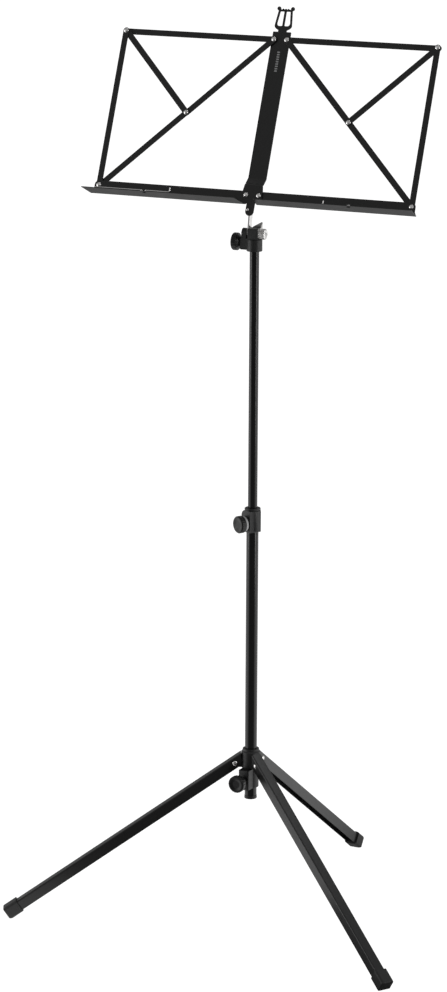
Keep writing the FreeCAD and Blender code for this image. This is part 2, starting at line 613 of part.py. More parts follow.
def tilt_tongue():
    """Plated tongue: an upright plate round the tilt bolt, bent over to lie on the back of the tab."""
    half = TONGUE_THICKNESS / 2
    back = foot_plate_back
    pad_low = RIVET_LINE_RISE - TAB_DROP + 2.0
    pad_high = RIVET_LINE_RISE - FLANGE_BELOW + 3.0
    blade = plate([
        (-TONGUE_END_RADIUS, -TONGUE_END_RADIUS, TONGUE_END_RADIUS - 0.01),
        (TONGUE_END_RADIUS, -TONGUE_END_RADIUS, TONGUE_END_RADIUS - 0.01),
        (TONGUE_END_RADIUS, 8.0, 3.0), (back, pad_low, 3.0), (back, pad_high, 0.5),
        (back - 6.0, pad_high, 3.0),
        (-TONGUE_END_RADIUS, 12.0, 6.0),
    ], -half, half)
    blade = framed(blade, vec(0, 0), vec(0, 0, 1), vec(0, 1, 0))
    pad = plate([
        (-TAB_HALF_WIDTH + 1.2, pad_low, 2.0), (half, pad_low, 0), (half, pad_high, 0),
        (-TAB_HALF_WIDTH + 1.2, pad_high, 2.0),
    ], back - TONGUE_THICKNESS, back)
    tongue = blade.fuse(pad)
    tongue = tongue.cut(rod(TILT_BOLT_RADIUS + PIN_FIT, vec(-TONGUE_THICKNESS, 0), vec(TONGUE_THICKNESS, 0)))
    hole = disc(TAB_RIVET_RADIUS, 0, foot_plate_front, TAB_RIVET_X, tab_rivet_y)
    return tongue.cut(hole).removeSplitter()


def desk_rivet(x, y, back, front, radius=DESK_RIVET_RADIUS):
    """Rivet square to the desk: flat head behind, bright dome in front."""
    head = radius * DESK_RIVET_HEAD
    rivet = turned([
        (0, back - DESK_RIVET_BACK, 0), (head * 0.9, back - DESK_RIVET_BACK, 0.4),
        (head * 0.9, back, 0), (radius, back, 0), (radius, front, 0),
        (head, front, 0), (head * 0.92, front + DESK_RIVET_DOME, 1.1), (0, front + DESK_RIVET_DOME, 0),
    ])
    rivet.translate(vec(x, y))
    return rivet


def spine_rivets(row):
    """The two rivets of one end of the spine: the foot holds the trays, the top holds bars and diagonals."""
    if row == "foot":
        height = RIVET_LINE_RISE
        back = layer(tray_layer) - FACE_GAP
        front = foot_plate_front
    else:
        height = RIVET_LINE_RISE + DESK_HEIGHT
        back = SPINE_FACE - SPINE_THICKNESS
        front = layer(3)
    return Part.makeCompound([desk_rivet(side * SPINE_RIVET_X, height, back, front) for side in (-1, 1)])


def tab_rivet():
    back = foot_plate_back - TONGUE_THICKNESS
    return desk_rivet(TAB_RIVET_X, tab_rivet_y, back, foot_plate_front, TAB_RIVET_RADIUS)


# ---- wings: the right one is modelled, the left one is its mirror image ----
corner_x = SPINE_RIVET_X + WING_LENGTH
top_y = RIVET_LINE_RISE + DESK_HEIGHT
knee_x = SPINE_RIVET_X + WING_LENGTH / 2
knee_y = RIVET_LINE_RISE + DESK_HEIGHT / 2
washer_radius = DESK_RIVET_RADIUS * DESK_RIVET_HEAD


def strap(start, finish, number):
    """Flat bar with round ends and a rivet hole at each end, in one layer."""
    along = vec(finish[0] - start[0], finish[1] - start[1])
    half = BAR_WIDTH / 2
    bend = half - 0.01
    bar = plate([(-half, -half, bend), (along.Length + half, -half, bend), (along.Length + half, half, bend),
                 (-half, half, bend)], 0, BAR_THICKNESS)
    for x in (0, along.Length):
        bar = bar.cut(disc(DESK_RIVET_RADIUS + PIN_FIT, 0, BAR_THICKNESS, x))
    direction = along.normalize()
    return framed(bar, vec(start[0], start[1], layer(number)), direction, vec(-direction.y, direction.x))


def tray():
    """Pressed angle: a flange behind the foot of the spine and a ledge towards the reader."""
    low = RIVET_LINE_RISE - FLANGE_BELOW
    high = RIVET_LINE_RISE + FLANGE_ABOVE
    back = layer(tray_layer)
    front = back + BAR_THICKNESS
    outer = corner_x + LEDGE_OVERHANG + LEDGE_FLARE
    profile = [
        (back, low, TRAY_BEND), (ledge_front, low, 0), (ledge_front, low + BAR_THICKNESS, 0),
        (front, low + BAR_THICKNESS, TRAY_BEND - BAR_THICKNESS), (front, high, 0), (back, high, 0),
    ]
    inner_x = SPINE_RIVET_X - FLANGE_ABOVE
    angle = framed(plate(profile, -outer, -inner_x), vec(0, 0), vec(0, 0, 1), vec(0, 1))
    flange_shape = plate([
        (inner_x, high, FLANGE_ABOVE - 0.01), (inner_x, RIVET_LINE_RISE - FLANGE_ABOVE, 4.0),
        (SPINE_RIVET_X + LEDGE_INNER, low, 0), (corner_x + LEDGE_OVERHANG, low, 0),
        (corner_x + FLANGE_ABOVE, low + FLANGE_BELOW / 2, 2.0),
        (corner_x + FLANGE_ABOVE, high, FLANGE_ABOVE - 0.01),
    ], back, front)
    ledge_shape = [
        (SPINE_RIVET_X + LEDGE_INNER, back, 0), (corner_x + LEDGE_OVERHANG, back, 0),
        (outer, ledge_front, 0.5), (SPINE_RIVET_X + LEDGE_INNER + LEDGE_INNER_SLANT, ledge_front, 2.0),
    ]
    ledge_slab = framed(plate(ledge_shape, -(low + TRAY_BEND), -low), vec(0, 0), vec(1, 0), vec(0, 0, 1))
    body = angle.common(flange_shape.fuse(ledge_slab))
    body = body.cut(disc(DESK_RIVET_RADIUS + PIN_FIT, back, front, SPINE_RIVET_X, RIVET_LINE_RISE))
    body = body.cut(disc(DESK_RIVET_RADIUS, back, front, corner_x, RIVET_LINE_RISE))
    stud_x = corner_x - RETAINER_INSET
    stud_hole = disc(STUD_RADIUS, -low - TRAY_BEND, -low, stud_x, ledge_front - STUD_SETBACK)
    return body.cut(framed(stud_hole, vec(0, 0), vec(1, 0), vec(0, 0, 1))).removeSplitter()


def corner_rivet_low():
    """Outer tray rivet with the washer between side bar and lower diagonal."""
    rivet = desk_rivet(corner_x, RIVET_LINE_RISE, layer(3) - FACE_GAP, layer(tray_layer) + BAR_THICKNESS)
    washer = ring(washer_radius, DESK_RIVET_RADIUS, layer(4), layer(4) + BAR_THICKNESS)
    washer.translate(vec(corner_x, RIVET_LINE_RISE))
    return Part.makeCompound([rivet, washer])


def corner_rivet_high():
    """Outer top rivet with the washer between top bar and brace."""
    rivet = desk_rivet(corner_x, top_y, layer(1) - FACE_GAP, layer(5) + BAR_THICKNESS)
    washer = ring(washer_radius, DESK_RIVET_RADIUS, layer(2), layer(4) - FACE_GAP)
    washer.translate(vec(corner_x, top_y))
    return Part.makeCompound([rivet, washer])


def knee_pin():
    """Flush pin in the lower end of the upper diagonal."""
    return disc(DESK_RIVET_RADIUS + PIN_FIT, layer(2), layer(2) + BAR_THICKNESS, knee_x, knee_y)


def knee_stud():
    """Domed stud in the end of the brace, which snaps over the knee."""
    low = layer(4)
    front = low + BAR_THICKNESS
    stud = turned([
        (0, low, 0), (DESK_RIVET_RADIUS + PIN_FIT, low, 0), (DESK_RIVET_RADIUS + PIN_FIT, front, 0),
        (washer_radius, front, 0), (washer_radius * 0.92, front + DESK_RIVET_DOME, 1.1),
        (0, front + DESK_RIVET_DOME, 0),
    ])
    stud.translate(vec(knee_x, knee_y))
    return stud


def retainer_stud():
    """Headed stud in the ledge that holds the page retainer."""
    ledge_top = RIVET_LINE_RISE - FLANGE_BELOW + BAR_THICKNESS
    shoulder = ledge_top + FACE_GAP + 2 * WIRE_RADIUS + FACE_GAP
    stud = turned([
        (0, ledge_top - BAR_THICKNESS - 0.8, 0), (STUD_HEAD_RADIUS, ledge_top - BAR_THICKNESS - 0.8, 0.3),
        (STUD_HEAD_RADIUS, ledge_top - BAR_THICKNESS, 0), (STUD_RADIUS, ledge_top - BAR_THICKNESS, 0),
        (STUD_RADIUS, shoulder, 0), (STUD_HEAD_RADIUS, shoulder, 0),
        (STUD_HEAD_RADIUS * 0.9, shoulder + STUD_HEAD_HEIGHT, 0.8), (0, shoulder + STUD_HEAD_HEIGHT, 0),
    ])
    place = vec(corner_x - RETAINER_INSET, 0, ledge_front - STUD_SETBACK)
    return framed(stud, place, vec(1, 0, 0), vec(0, 0, -1))


def retainer_wire(side):
    """Page retainer: a long and a short arm, bent half round the stud, with a small hook.

    Both wires are the same piece, so the left one carries its arms in front of the stud
    and the right one behind it.
    """
    height = RIVET_LINE_RISE - FLANGE_BELOW + BAR_THICKNESS + FACE_GAP + WIRE_RADIUS
    stud_x = corner_x - RETAINER_INSET
    stud_z = ledge_front - STUD_SETBACK
    reach = STUD_RADIUS + PIN_FIT + WIRE_RADIUS
    jog = WIRE_JOG if side < 0 else -WIRE_JOG
    far = -reach if side < 0 else reach
    arm_z = stud_z + jog
    bow_z = stud_z + far
    points = [
        vec(stud_x + LONG_ARM, height, arm_z), vec(stud_x + reach, height, arm_z),
        vec(stud_x + reach, height, bow_z), vec(stud_x - reach, height, bow_z),
        vec(stud_x - reach, height, arm_z), vec(stud_x - SHORT_ARM, height, arm_z),
        vec(stud_x - SHORT_ARM, height + HOOK_HEIGHT, arm_z),
    ]
    return tube_through(points, WIRE_RADIUS, WIRE_BEND)


def wing(side):
    """Nodes of one wing by name, in desk coordinates of the right-hand side."""
    spine_foot = (SPINE_RIVET_X, RIVET_LINE_RISE)
    spine_head = (SPINE_RIVET_X, top_y)
    corner_low = (corner_x, RIVET_LINE_RISE)
    corner_high = (corner_x, top_y)
    knee = (knee_x, knee_y)
    return {
        "tray": tray(),
        "tray_rivet": corner_rivet_low(),
        "top_bar": strap(spine_head, corner_high, 1),
        "side_bar": strap(corner_low, corner_high, 5),
        "side_bar_rivet": corner_rivet_high(),
        "upper_diagonal": strap(spine_head, knee, 2),
        "knee_pin": knee_pin(),
        "lower_diagonal": strap(corner_low, knee, 3),
        "brace": strap(corner_high, knee, 4),
        "brace_stud": knee_stud(),
        "retainer_stud": retainer_stud(),
        "retainer_wire": retainer_wire(side),
    }


def build():
    """Every node of the stand by name."""
    nodes = {"hub_casting": hub_casting()}
    nodes["leg_rivets"] = Part.makeCompound([leg_rivet(azimuth) for azimuth in LEG_AZIMUTHS.values()])
    for name, azimuth in LEG_AZIMUTHS.items():
        nodes["leg_channel_" + name] = leg_channel(azimuth)
        nodes["foot_cap_" + name] = foot_cap(azimuth)
    nodes["lower_tube"] = lower_tube()
    nodes["lower_tube_cap"] = lower_tube_cap()
    nodes["clamp_yoke"] = clamp_yoke()
    nodes["clamp_collar"] = clamp_collar()
    nodes["upper_tube"] = upper_tube()
    nodes["upper_tube_guide"] = upper_tube_guide()
    nodes["head_body"] = head_body()
    nodes["head_bracket"] = head_bracket()
    nodes["tilt_bolt"] = tilt_bolt()
    nodes["tilt_nut"] = tilt_nut()
    screws = {
        "hub": (CLAMP_BLOCK_REACH, HUB_KNOB_GAP, LOWER_TUBE_RADIUS, CLAMP_AZIMUTH, hub_knob_z),
        "clamp": (YOKE_FRONT, YOKE_KNOB_GAP, UPPER_TUBE_RADIUS, YOKE_AZIMUTH, yoke_knob_z),
        "head": (LUG_REACH, HEAD_KNOB_GAP, UPPER_TUBE_RADIUS, 180.0, head_screw_z),
    }
    for name, (front, stand_off, tube_radius, azimuth, height) in screws.items():
        nodes[name + "_knob"] = radial(knob_grip(front, stand_off), azimuth, height)
        nodes[name + "_screw"] = radial(knob_screw(tube_radius, front, stand_off), azimuth, height)
    for name in ("hub", "head"):
        front, stand_off, tube_radius, azimuth, height = screws[name]
        nut = nut_prism(front).cut(disc(SCREW_RADIUS + PIN_FIT, 0, front))
        nodes[name + "_nut"] = radial(nut, azimuth, height)
    desk = {
        "desk_spine": desk_spine(),
        "tilt_tongue": tilt_tongue(),
        "tab_rivet": tab_rivet(),
        "spine_foot_rivets": spine_rivets("foot"),
        "spine_top_rivets": spine_rivets("top"),
    }
    for name, shape in desk.items():
        nodes[name] = on_desk(shape)
    for side, word in ((-1, "left"), (1, "right")):
        for name, shape in wing(side).items():
            if side < 0:
                shape = shape.mirror(vec(0, 0), vec(1, 0))
            nodes[name + "_" + word] = on_desk(shape)
    return nodes


def main():
    os.makedirs("parts", exist_ok=True)
    for name, shape in build().items():
        solids = shape.Solids
        if not shape.isValid() or not solids:
            print("bad shape:", name)
        shape.exportStep("parts/" + name + ".step")
        print(name, "solids", len(solids), "volume %.1f" % shape.Volume)


main()
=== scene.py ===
import json
import logging
import math
from dataclasses import dataclass
from enum import Enum
from typing import Iterable, Optional, Sequence, Union

import bmesh
import bpy
from mathutils import Matrix, Vector


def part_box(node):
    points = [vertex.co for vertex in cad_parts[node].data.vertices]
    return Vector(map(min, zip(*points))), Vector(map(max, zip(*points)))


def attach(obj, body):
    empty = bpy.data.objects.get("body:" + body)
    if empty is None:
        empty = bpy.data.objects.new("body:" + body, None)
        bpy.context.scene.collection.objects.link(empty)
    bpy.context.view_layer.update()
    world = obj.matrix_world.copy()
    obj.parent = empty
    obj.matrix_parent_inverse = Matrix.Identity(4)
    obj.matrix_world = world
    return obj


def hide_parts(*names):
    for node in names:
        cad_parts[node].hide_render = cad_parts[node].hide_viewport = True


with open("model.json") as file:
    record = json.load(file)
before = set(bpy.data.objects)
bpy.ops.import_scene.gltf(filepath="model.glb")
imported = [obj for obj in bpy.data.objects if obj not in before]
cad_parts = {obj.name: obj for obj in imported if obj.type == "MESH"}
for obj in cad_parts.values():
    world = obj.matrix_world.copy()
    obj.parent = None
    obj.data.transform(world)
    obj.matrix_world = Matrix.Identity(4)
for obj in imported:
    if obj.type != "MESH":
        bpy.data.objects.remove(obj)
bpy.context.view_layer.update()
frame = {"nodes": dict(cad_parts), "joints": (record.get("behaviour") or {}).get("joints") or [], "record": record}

# The visual model of a folding music stand.  Metres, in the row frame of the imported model:
# X to the reader's right, Y away from the reader, Z up, origin on the floor under the column.

MM = 0.001
BUMP_DEPTH = 0.2 * MM
SAME_POINT = 1e-7           # vertices of a built mesh nearer than this are one
SAME_CAD_POINT = 2e-6       # the same for the loose triangles of a CAD node
FLAT_ANGLE = math.radians(0.4)
SHARP_ANGLE = math.radians(34.0)
LOG = logging.getLogger("music_stand")
Corner = tuple[float, float, float]


class Slot(Enum):
    """Material slots of the record."""

    FRAME = "powder_coat_frame"
    LEGS = "powder_coat_legs"
    TUBE = "painted_tube"
    MOULDED = "moulded_black"
    KNOB = "knob_black"
    FOOT = "rubber_black"
    BRIGHT = "bright_plate"
    ZINC = "zinc_steel"


class Side(Enum):
    """The two wings of the desk, each with the sign of its X."""

    LEFT = -1
    RIGHT = 1

    @property
    def word(self) -> str:
        """Name of the side as the CAD nodes write it."""
        return self.name.lower()


# ---------------------------------------------------------------- node building
class Signal:
    """A number carried by a socket; arithmetic on it adds Math nodes."""

    def __init__(self, bench: "NodeBench", socket: bpy.types.NodeSocket) -> None:
        """Wrap a socket.

        Args:
            bench: The bench of the tree that the socket belongs to.
            socket: The output socket that carries the number.
        """
        self.bench = bench
        self.socket = socket

    def math(self, operation: str, *others: "Term", swap: bool = False) -> "Signal":
        """Join this number with others in one Math node.

        Args:
            operation: Name of the Math operation.
            others: The other numbers of the operation.
            swap: Whether this number is the second operand.

        Returns:
            The result.
        """
        terms = [self, *others]
        if swap:
            terms.reverse()
        node = self.bench.add("ShaderNodeMath", {"operation": operation}, dict(enumerate(terms)))
        return Signal(self.bench, node.outputs[0])

    def __add__(self, other: "Term") -> "Signal":
        """Sum."""
        return self.math("ADD", other)

    __radd__ = __add__

    def __mul__(self, other: "Term") -> "Signal":
        """Product."""
        return self.math("MULTIPLY", other)

    __rmul__ = __mul__

    def __sub__(self, other: "Term") -> "Signal":
        """Difference."""
        return self.math("SUBTRACT", other)

    def __rsub__(self, other: "Term") -> "Signal":
        """Difference from a number."""
        return self.math("SUBTRACT", other, swap=True)

    def __pow__(self, other: "Term") -> "Signal":
        """Power."""
        return self.math("POWER", other)

    def clamped(self) -> "Signal":
        """The number held between 0 and 1."""
        return self.math("MAXIMUM", 0.0).math("MINIMUM", 1.0)

    def step(self, low: float, high: float) -> "Signal":
        """Smooth step.

        Args:
            low: Value at which the result leaves 0.
            high: Value at which the result reaches 1.

        Returns:
            The stepped number.
        """
        node = self.bench.add(
            "ShaderNodeMapRange",
            {"interpolation_type": "SMOOTHSTEP"},
            {"Value": self, "From Min": low, "From Max": high, "To Min": 0.0, "To Max": 1.0},
        )
        return Signal(self.bench, node.outputs["Result"])


Term = Union[Signal, float]
SocketValue = Union[Signal, bpy.types.NodeSocket, float, tuple, bool, str]


class NodeBench:
    """Adds nodes to one node tree."""

    def __init__(self, tree: bpy.types.NodeTree) -> None:
        """Keep the tree to work on.

        Args:
            tree: A shader or geometry node tree.
        """
        self.tree = tree

    def add(
        self, kind: str, settings: Optional[dict] = None, sockets: Optional[dict] = None
    ) -> bpy.types.Node:
        """Add one node.

        Args:
            kind: Type of the node.
            settings: Properties of the node, set first.
            sockets: Values or links of the inputs, by name or place.

        Returns:
            The new node.
        """
        node = self.tree.nodes.new(kind)
        for key, value in (settings or {}).items():
            setattr(node, key, value)
        for key, value in (sockets or {}).items():
            target = node.inputs[key]
            if isinstance(value, Signal):
                value = value.socket
            if isinstance(value, bpy.types.NodeSocket):
                self.tree.links.new(value, target)
            else:
                target.default_value = value
        return node

    def number(self, node: bpy.types.Node, output: Union[int, str] = 0) -> Signal:
        """One output of a node as a number.

        Args:
            node: The node.
            output: Name or place of the output.

        Returns:
            The wrapped output.
        """
        return Signal(self, node.outputs[output])

    def noise(self, place: SocketValue, scale: float, detail: float = 2.0) -> Signal:
        """Seamless noise over a position.

        Args:
            place: Position to read.
            scale: Features per metre.
            detail: Octaves.

        Returns:
            Noise between about 0 and 1.
        """
        node = self.add(
            "ShaderNodeTexNoise", {}, {"Vector": place, "Scale": scale, "Detail": detail}
        )
        return self.number(node, 0)

    def stretched(self, place: SocketValue, scale: Corner) -> bpy.types.NodeSocket:
        """A position stretched along its axes.

        Args:
            place: Position to stretch.
            scale: Factor along each axis.

        Returns:
            The stretched position.
        """
        return self.add("ShaderNodeMapping", {}, {"Vector": place, "Scale": scale}).outputs[0]

    def blend(self, low: tuple, high: tuple, mask: SocketValue) -> bpy.types.NodeSocket:
        """Two colours mixed by a mask.

        Args:
            low: Colour where the mask is 0.
            high: Colour where the mask is 1.
            mask: The mask.

        Returns:
            The mixed colour.
        """
        node = self.add(
            "ShaderNodeMix", {"data_type": "RGBA"}, {"Factor": mask, "A": low, "B": high}
        )
        return node.outputs["Result"]


def fresh_bench(owner: Union[bpy.types.Material, bpy.types.World]) -> NodeBench:
    """Empty the node tree of a material or a world.

    Args:
        owner: The material or world.

    Returns:
        A bench on its tree.
    """
    owner.use_nodes = True
    owner.node_tree.nodes.clear()
    return NodeBench(owner.node_tree)


# ---------------------------------------------------------------- finishes
def grey(level: float, warmth: float = 0.0) -> tuple[float, float, float, float]:
    """A near-neutral colour.

    Args:
        level: Linear brightness.
        warmth: Share by which red gains and blue loses.

    Returns:
        The colour.
    """
    return (level * (1.0 + warmth), level, level * (1.0 - warmth), 1.0)


@dataclass(frozen=True)
class Finish:
    """A surface finish: colour, sheen and the grain of its surface."""

    title: str
    slot: Slot
    level: float
    roughness: float
    grain: float = 1400.0
    relief: float = 0.05
    metallic: float = 0.0
    specular: float = 0.5
    warmth: float = -0.01

    def material(self) -> bpy.types.Material:
        """The material of this finish, made once and then shared.

        Returns:
            The material.
        """
        known = bpy.data.materials.get(self.title)
        if known is not None:
            return known
        material = bpy.data.materials.new(self.title)
        bench = fresh_bench(material)
        place = bench.add("ShaderNodeTexCoord").outputs["Object"]
        colour, roughness, height = self.surface(bench, place)
        bump = bench.add(
            "ShaderNodeBump", {}, {"Strength": self.relief, "Distance": BUMP_DEPTH, "Height": height}
        )
        shader = bench.add(
            "ShaderNodeBsdfPrincipled",
            {},
            {
                "Base Color": colour,
                "Roughness": roughness,
                "Metallic": self.metallic,
                "Specular IOR Level": self.specular,
                "Normal": bump.outputs[0],
            },
        )
        bench.add("ShaderNodeOutputMaterial", {}, {"Surface": shader.outputs[0]})
        return material

    def shades(
        self, bench: NodeBench, low: float, high: float, mask: Signal
    ) -> bpy.types.NodeSocket:
        """A darker and a lighter shade of this finish, mixed by a mask.

        Args:
            bench: Bench of the material's tree.
            low: Brightness of the darker shade against the finish's own.
            high: Brightness of the lighter shade against the finish's own.
            mask: Mask of the lighter shade.

        Returns:
            The mixed colour.
        """
        dark, pale = grey(self.level * low, self.warmth), grey(self.level * high, self.warmth)
        return bench.blend(dark, pale, mask)

    def surface(
        self, bench: NodeBench, place: bpy.types.NodeSocket
    ) -> tuple[bpy.types.NodeSocket, Signal, Signal]:
        """Colour, roughness and height over the surface.

        Args:
            bench: Bench of the material's tree.
            place: Object coordinates.

        Returns:
            The colour, the roughness and the height.
        """
        cloud = bench.noise(place, 22.0, 3.0)
        grain = bench.noise(place, self.grain, 2.0)
        colour = self.shades(bench, 0.85, 1.2, cloud)
        roughness = (cloud - 0.5) * 0.12 + self.roughness
        return colour, roughness, grain


@dataclass(frozen=True)
class PowderCoat(Finish):
    """Baked powder: a fine orange peel, a few pale dust nibs and soft handling marks."""

    nibs: float = 0.05

    def surface(
        self, bench: NodeBench, place: bpy.types.NodeSocket
    ) -> tuple[bpy.types.NodeSocket, Signal, Signal]:
        """Colour, roughness and height of the powder.

        Args:
            bench: Bench of the material's tree.
            place: Object coordinates.

        Returns:
            The colour, the roughness and the height.
        """
        cloud = bench.noise(place, 16.0, 3.0)
        peel = bench.noise(place, self.grain, 1.0)
        speck = bench.noise(place, 2600.0, 1.0).step(0.68, 0.76)
        rub = bench.noise(bench.stretched(place, (1.0, 1.0, 0.25)), 60.0, 4.0).step(0.5, 0.75)
        lifted = (speck * self.nibs + rub * 0.25 + cloud * 0.35).clamped()
        colour = self.shades(bench, 0.8, 1.9, lifted)
        roughness = (cloud - 0.5) * 0.10 + rub * -0.05 + speck * 0.1 + self.roughness
        return colour, roughness, peel + speck * 0.4


@dataclass(frozen=True)
class DrawnTube(Finish):
    """Paint on drawn tube: faint draw lines along the tube and sliding marks round it."""

    def surface(
        self, bench: NodeBench, place: bpy.types.NodeSocket
    ) -> tuple[bpy.types.NodeSocket, Signal, Signal]:
        """Colour, roughness and height of the painted tube.

        Args:
            bench: Bench of the material's tree.
            place: Object coordinates.

        Returns:
            The colour, the roughness and the height.
        """
        lines = bench.noise(bench.stretched(place, (1.0, 1.0, 0.02)), 700.0, 2.0)
        rings = bench.noise(bench.stretched(place, (0.03, 0.03, 1.0)), 420.0, 3.0).step(0.62, 0.8)
        cloud = bench.noise(place, 12.0, 2.0)
        colour = self.shades(bench, 0.8, 1.8, (cloud * 0.4 + rings * 0.4).clamped())
        roughness = (cloud - 0.5) * 0.05 + (lines - 0.5) * 0.05 + rings * 0.04 + self.roughness
        return colour, roughness, lines


@dataclass(frozen=True)
class Moulded(Finish):
    """Moulded nylon: a fine spark-eroded grain with flow marks."""

    def surface(
        self, bench: NodeBench, place: bpy.types.NodeSocket
    ) -> tuple[bpy.types.NodeSocket, Signal, Signal]:
        """Colour, roughness and height of the moulding.

        Args:
            bench: Bench of the material's tree.
            place: Object coordinates.

        Returns:
            The colour, the roughness and the height.
        """
        flow = bench.noise(bench.stretched(place, (1.0, 1.0, 2.5)), 90.0, 2.0)
        spark = bench.add("ShaderNodeTexVoronoi", {}, {"Vector": place, "Scale": self.grain})
        pits = bench.number(spark, "Distance")
        colour = self.shades(bench, 0.8, 1.3, flow)
        roughness = (flow - 0.5) * 0.14 + pits * 0.08 + self.roughness
        return colour, roughness, pits


@dataclass(frozen=True)
class BrightPlate(Finish):
    """Nickel plate: bright, with faint tarnish clouds and fine polishing lines."""

    def surface(
        self, bench: NodeBench, place: bpy.types.NodeSocket
    ) -> tuple[bpy.types.NodeSocket, Signal, Signal]:
        """Colour, roughness and height of the plate.

        Args:
            bench: Bench of the material's tree.
            place: Object coordinates.

        Returns:
            The colour, the roughness and the height.
        """
        tarnish = bench.noise(place, 260.0, 3.0).step(0.4, 0.8)
        lines = bench.noise(bench.stretched(place, (1.0, 0.08, 0.4)), self.grain, 2.0)
        colour = bench.blend(
            grey(self.level, self.warmth), grey(self.level * 0.72, self.warmth * 3), tarnish
        )
        roughness = tarnish * 0.12 + (lines - 0.5) * 0.08 + self.roughness
        return colour, roughness, lines


@dataclass(frozen=True)
class FootRubber(Moulded):
    """Moulded foot cap, dusty where it meets the floor."""

    dust_height: float = 7.0 * MM

    def surface(
        self, bench: NodeBench, place: bpy.types.NodeSocket
    ) -> tuple[bpy.types.NodeSocket, Signal, Signal]:
        """Colour, roughness and height of the cap.

        Args:
            bench: Bench of the material's tree.
            place: Object coordinates.

        Returns:
            The colour, the roughness and the height.
        """
        _, roughness, pits = super().surface(bench, place)
        axes = bench.add("ShaderNodeSeparateXYZ", {}, {"Vector": place})
        low = 1.0 - bench.number(axes, "Z").step(0.5 * MM, self.dust_height)
        dust = (low * bench.noise(place, 400.0, 3.0).step(0.4, 0.7)).clamped()
        colour = bench.blend(grey(self.level, self.warmth), grey(self.level * 4.0, 0.03), dust)
        return colour, roughness + dust * 0.15, pits


@dataclass(frozen=True)
class Workshop:
    """Every finish of the stand."""

    frame: Finish = PowderCoat("black_powder_frame", Slot.FRAME, 0.0050, 0.36, 1100.0, 0.10)
    legs: Finish = PowderCoat("black_powder_legs", Slot.LEGS, 0.0050, 0.34, 1000.0, 0.12)
    tube: Finish = DrawnTube("black_tube_paint", Slot.TUBE, 0.0022, 0.19, relief=0.012)
    moulded: Finish = Moulded("black_nylon", Slot.MOULDED, 0.0085, 0.42, 1500.0, 0.16)
    knob: Finish = Moulded("black_knob", Slot.KNOB, 0.0055, 0.30, 2200.0, 0.05, specular=0.36)
    neck: Finish = Moulded("grey_nylon_washer", Slot.MOULDED, 0.42, 0.40, 1500.0, 0.05)
    foot: Finish = FootRubber("black_foot_cap", Slot.FOOT, 0.0070, 0.48, 1300.0, 0.20)
    bright: Finish = BrightPlate(
        "nickel_plate", Slot.BRIGHT, 0.88, 0.17, 1800.0, 0.03, metallic=1.0, warmth=0.01
    )
    zinc: Finish = BrightPlate(
        "zinc_plate", Slot.ZINC, 0.55, 0.32, 1400.0, 0.08, metallic=1.0, warmth=0.0
    )
    print_ink: Finish = Finish("pale_print", Slot.FRAME, 0.30, 0.55, 1500.0, 0.02)


FINISHES = Workshop()


# ---------------------------------------------------------------- meshes
def link(name: str, mesh: bpy.types.Mesh) -> bpy.types.Object:
    """A new object in the scene.

    Args:
        name: Name of the piece.
        mesh: Its mesh, in the row frame.

    Returns:
        The object.
    """
    piece = bpy.data.objects.new(name, mesh)
    bpy.context.scene.collection.objects.link(piece)
    return piece


def rounded(corners: Sequence[Corner], closed: bool = True, steps: int = 5) -> list[Vector]:
    """Outline with round corners.

    Args:
        corners: Each corner as (x, y, radius).
        closed: Whether the last corner joins the first.
        steps: Segments of each round corner.

    Returns:
        The points of the outline.
    """
    count = len(corners)
    points: list[Vector] = []
    for index, (x, y, radius) in enumerate(corners):
        here = Vector((x, y))
        inner = closed or 0 < index < count - 1
        if radius <= 0 or not inner:
            points.append(here)
            continue
        back = (Vector(corners[index - 1][:2]) - here).normalized()
        ahead = (Vector(corners[(index + 1) % count][:2]) - here).normalized()
        half = back.angle(ahead) / 2
        setback = radius / math.tan(half)
        centre = here + (back + ahead).normalized() * (radius / math.sin(half))
        first = here + back * setback - centre
        last = here + ahead * setback - centre
        for step in range(steps + 1):
            share = step / steps
            sweep = math.pi - 2 * half
            arm = (
                first * math.sin((1 - share) * sweep) + last * math.sin(share * sweep)
            ) / math.sin(sweep)
            points.append(centre + arm)
    return points


def turned_mesh(
    name: str, outline: Sequence[Vector], segments: int = 64, ring: bool = False
) -> bpy.types.Mesh:
    """A turned solid about Z.

    Args:
        name: Name of the mesh.
        outline: Points (radius, height), from axis to axis, or round a ring.
        segments: Facets round the axis.
        ring: Whether the outline closes on itself.

    Returns:
        The mesh.
    """
    work = bmesh.new()
    rows = []
    for point in outline:
        if point.x < SAME_POINT:
            rows.append([work.verts.new((0, 0, point.y))])
            continue
        turns = (2 * math.pi * index / segments for index in range(segments))
        rows.append(
            [work.verts.new((point.x * math.cos(a), point.x * math.sin(a), point.y)) for a in turns]
        )
    pairs = list(zip(rows, rows[1:]))
    if ring:
        pairs.append((rows[-1], rows[0]))
    for low, high in pairs:
        for index in range(segments):
            after = (index + 1) % segments
            loop = [low[index % len(low)], low[after % len(low)]]
            loop += [high[after % len(high)], high[index % len(high)]]
            unique = list(dict.fromkeys(loop))
            if len(unique) > 2:
                work.faces.new(unique)
    return closed_mesh(name, work)


def plate_mesh(name: str, outline: Sequence[Vector], low: float, high: float) -> bpy.types.Mesh:
    """A flat plate with the given outline.

    Args:
        name: Name of the mesh.
        outline: Points of the outline in the plate's plane.
        low: Height of the back face.
        high: Height of the front face.

    Returns:
        The mesh.
    """
    work = bmesh.new()
    back = [work.verts.new((p.x, p.y, low)) for p in outline]
    front = [work.verts.new((p.x, p.y, high)) for p in outline]
    work.faces.new(back[::-1])
    work.faces.new(front)
    for index in range(len(outline)):
        after = (index + 1) % len(outline)
        work.faces.new((back[index], back[after], front[after], front[index]))
    return closed_mesh(name, work)


